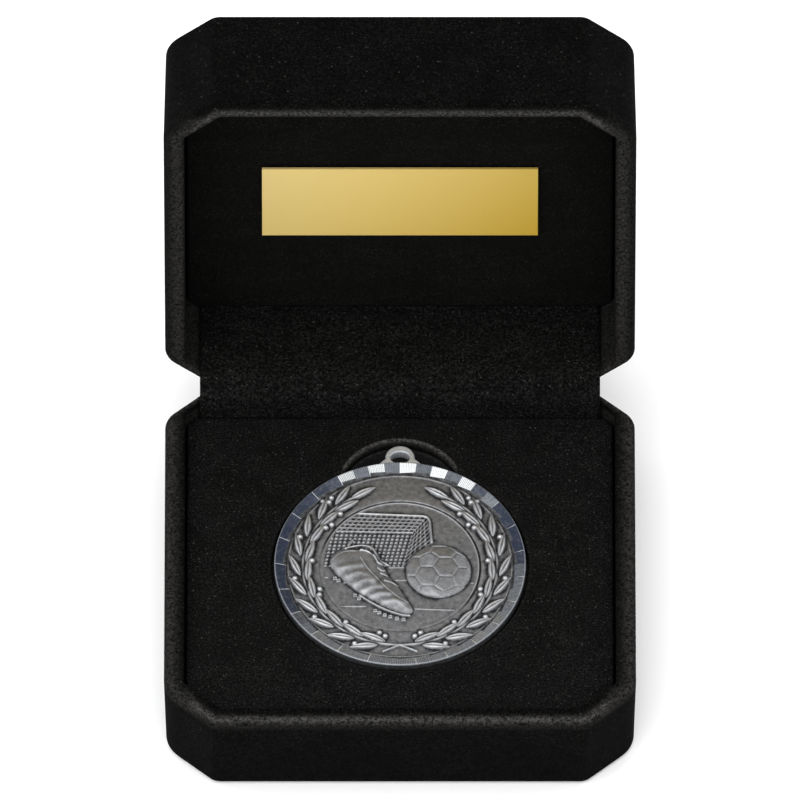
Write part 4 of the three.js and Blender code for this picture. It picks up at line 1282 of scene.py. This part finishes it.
def gold_material():
    """Brushed gold-coloured sheet, with painted light: paler at the upper left and darker towards its lower
    right corner.
    """
    material, tree, shader = new_material("gold_sheet", (0.6, 0.43, 0.11), 0.42, 0.25)
    low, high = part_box("engraving_plate")
    parts = add_node(tree, "ShaderNodeSeparateXYZ", links={"Vector": place_of(tree)})
    # painted light: the colour goes from pale at the upper left to deep at the lower right
    across = stretch(tree, parts.outputs["X"], low.x, high.x, 0, 0.75)
    down = stretch(tree, parts.outputs["Z"], high.z, low.z, 0, 0.25)
    depth = combined(tree, "ADD", across, down, clamp=True)
    values = {"Scale": (40, 2500, 2500)}
    brushed = add_node(tree, "ShaderNodeMapping", values=values, links={"Vector": place_of(tree)})
    values = {"Scale": 1.0, "Detail": 2.0}
    lines = add_node(tree, "ShaderNodeTexNoise", values=values, links={"Vector": brushed.outputs[0]})
    lines = lines.outputs["Fac"]
    colour = mix_colour(tree, depth, (0.95, 0.73, 0.28), (0.66, 0.43, 0.045))
    feed(tree, shader, colour, stretch(tree, lines, 0.2, 0.8, 0.36, 0.48), bump(tree, lines, 0.00001, 0.3))
    return material


def uneven_value(tree, name, cloud_size, cloud_depth):
    """A value kept on the mesh, made a little uneven."""
    cloud = stretch(tree, noise(tree, cloud_size, 4.0, 0.75), 0.25, 0.75, -cloud_depth, cloud_depth)
    return combined(tree, "ADD", mesh_value(tree, name), cloud, clamp=True)


def silver_material():
    """Antique silver: dark in the hollows, rubbed bright on what stands high."""
    material, tree, shader = new_material("antique_silver", (0.5, 0.5, 0.5), 0.42, 0.75)
    wear = uneven_value(tree, "wear", 0.001, 0.16)
    colour = mix_colour(tree, wear, (0.018, 0.0185, 0.0205), (0.66, 0.67, 0.695))
    normal = bump(tree, noise(tree, 0.00025, 3.0, 0.8), 0.00006, 0.8)
    feed(tree, shader, colour, stretch(tree, wear, 0, 1, 0.5, 0.25), normal)
    return material


def cut_silver_material():
    """The milled flats of the rim, with fine tool lines, coloured from dark blue-grey to bright by the
    reflection painted on them.
    """
    material, tree, shader = new_material("cut_silver", (0.5, 0.5, 0.5), 0.25, 0.4)
    painted_reflection = uneven_value(tree, "painted_reflection", 0.0008, 0.07)
    # painted reflection: dark blue-grey where low, bright where high
    colour = mix_colour(tree, painted_reflection, (0.028, 0.038, 0.066), (0.86, 0.89, 0.9))
    grain = noise(tree, 0.0006, 3.0, 0.6)
    feed(tree, shader, colour, stretch(tree, grain, 0.3, 0.7, 0.22, 0.36), bump(tree, grain, 0.00002, 0.4))
    return material


def steel_material():
    material, tree, shader = new_material("hinge_steel", (0.55, 0.55, 0.54), 0.32, 1.0)
    grain = noise(tree, 0.0004, 3.0)
    roughness = stretch(tree, grain, 0.3, 0.7, 0.25, 0.42)
    feed(tree, shader, roughness=roughness, normal=bump(tree, grain, 0.00001, 0.4))
    return material


def tape_material():
    material, tree, shader = new_material("foam_tape", (0.7, 0.68, 0.62), 0.9)
    feed(tree, shader, mix_colour(tree, noise(tree, 0.0005), (0.62, 0.6, 0.54), (0.75, 0.73, 0.67)))
    return material


def dress(made, material):
    made.data.materials.clear()
    made.data.materials.append(material)


# Camera, light and floor

def put_in_scene(name, data, place, away):
    """Adds a camera or a lamp that looks against the direction away."""
    made = bpy.data.objects.new(name, data)
    made.location = place
    made.rotation_euler = (-away).to_track_quat("-Z", "Y").to_euler()
    bpy.context.scene.collection.objects.link(made)
    return made


def make_camera():
    data = bpy.data.cameras.new("camera")
    data.sensor_width = sensor_width
    data.lens = sensor_width * camera_distance / view_width
    data.clip_start = 0.1
    data.clip_end = 100
    away = Vector((0, -math.cos(camera_elevation), math.sin(camera_elevation)))
    up = Vector((0, math.sin(camera_elevation), math.cos(camera_elevation)))
    place = hinge - up * hinge_above_centre + away * camera_distance
    bpy.context.scene.camera = put_in_scene("camera", data, place, away)


def make_key_light():
    data = bpy.data.lights.new("key_light", "AREA")
    data.size = key_size
    data.energy = key_watts
    put_in_scene("key_light", data, key_place, Vector(key_place) - Vector(key_target))


def make_world():
    """White surroundings: brighter overhead for what they light, plain to the camera and in reflections."""
    world = bpy.data.worlds.new("studio")
    bpy.context.scene.world = world
    world.use_nodes = True
    tree = world.node_tree
    rays = add_node(tree, "ShaderNodeLightPath").outputs
    seen = combined(tree, "MAXIMUM", rays["Is Camera Ray"], rays["Is Transmission Ray"])
    seen = combined(tree, "MAXIMUM", seen, rays["Is Glossy Ray"])
    way = add_node(tree, "ShaderNodeTexCoord").outputs["Generated"]
    parts = add_node(tree, "ShaderNodeSeparateXYZ", links={"Vector": way})
    lit = stretch(tree, parts.outputs["Z"], 0, 1, low_light, high_light)
    links = {"Value": seen, "To Min": lit}
    strength = add_node(tree, "ShaderNodeMapRange", values={"To Max": 1.0}, links=links)
    background = tree.nodes["Background"]
    background.inputs["Color"].default_value = (1, 1, 1, 1)
    tree.links.new(strength.outputs[0], background.inputs["Strength"])


def make_floor():
    half = floor_size / 2
    corners = [(-half, -half, 0), (half, -half, 0), (half, half, 0), (-half, half, 0)]
    made = piece("floor", corners, [(0, 1, 2, 3)])
    dress(made, new_material("white_floor", (0.97, 0.97, 0.97), 0.9)[0])


make_camera()
make_world()
make_floor()
make_key_light()
bpy.context.scene.view_settings.view_transform = "Standard"

# The pieces

flock = flock_material()
velvet = velvet_material()
foam = foam_material()
silver = silver_material()
cut_silver = cut_silver_material()
steel = steel_material()


def take_place(made, body, node, material):
    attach(made, body)
    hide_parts(node)
    dress(made, material)
    return made


base_case = shell("base_case", base_height, base_place, base_painted_sheen)
cut(base_case, hinge_cuts(True), base_place)
take_place(base_case, "base", "base_shell", flock)

lid_case = shell("lid_case", lid_height, lid_place, lid_painted_sheen)
cut(lid_case, hinge_cuts(False), lid_place)
take_place(lid_case, "lid", "lid_shell", flock)

take_place(tray_pad(), "base", "tray_pad", velvet)
take_place(tray_block(), "base", "tray_block", foam)

panel = sheet_pad("lid_lining", panel_low, panel_level, pad_round, panel_wave)
take_place(panel, "lid", "lid_panel", panel_material())
foam_low = rim_level - lid_height + floor_thickness + seat_gap
lid_foam = sheet_pad("foam_sheet", foam_low, panel_low - seat_gap, foam_round)
take_place(lid_foam, "lid", "lid_foam", foam)

strip, strip_turns, strip_flat = hinge_strip()
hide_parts("hinge_flap")
dress(strip, flap_material())
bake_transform(strip)

for made in (scene_plate(), medal_body(), medal_loop()):
    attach(made, "medal")
    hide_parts("medal")
    if not made.data.materials:
        dress(made, silver)

dress(frame["nodes"]["engraving_plate"], gold_material())
dress(frame["nodes"]["plate_adhesive"], tape_material())
for node, made in frame["nodes"].items():
    if "hinge_leaf" in node or "rivet" in node or node in ("hinge_pin", "snap_spring"):
        dress(made, steel)
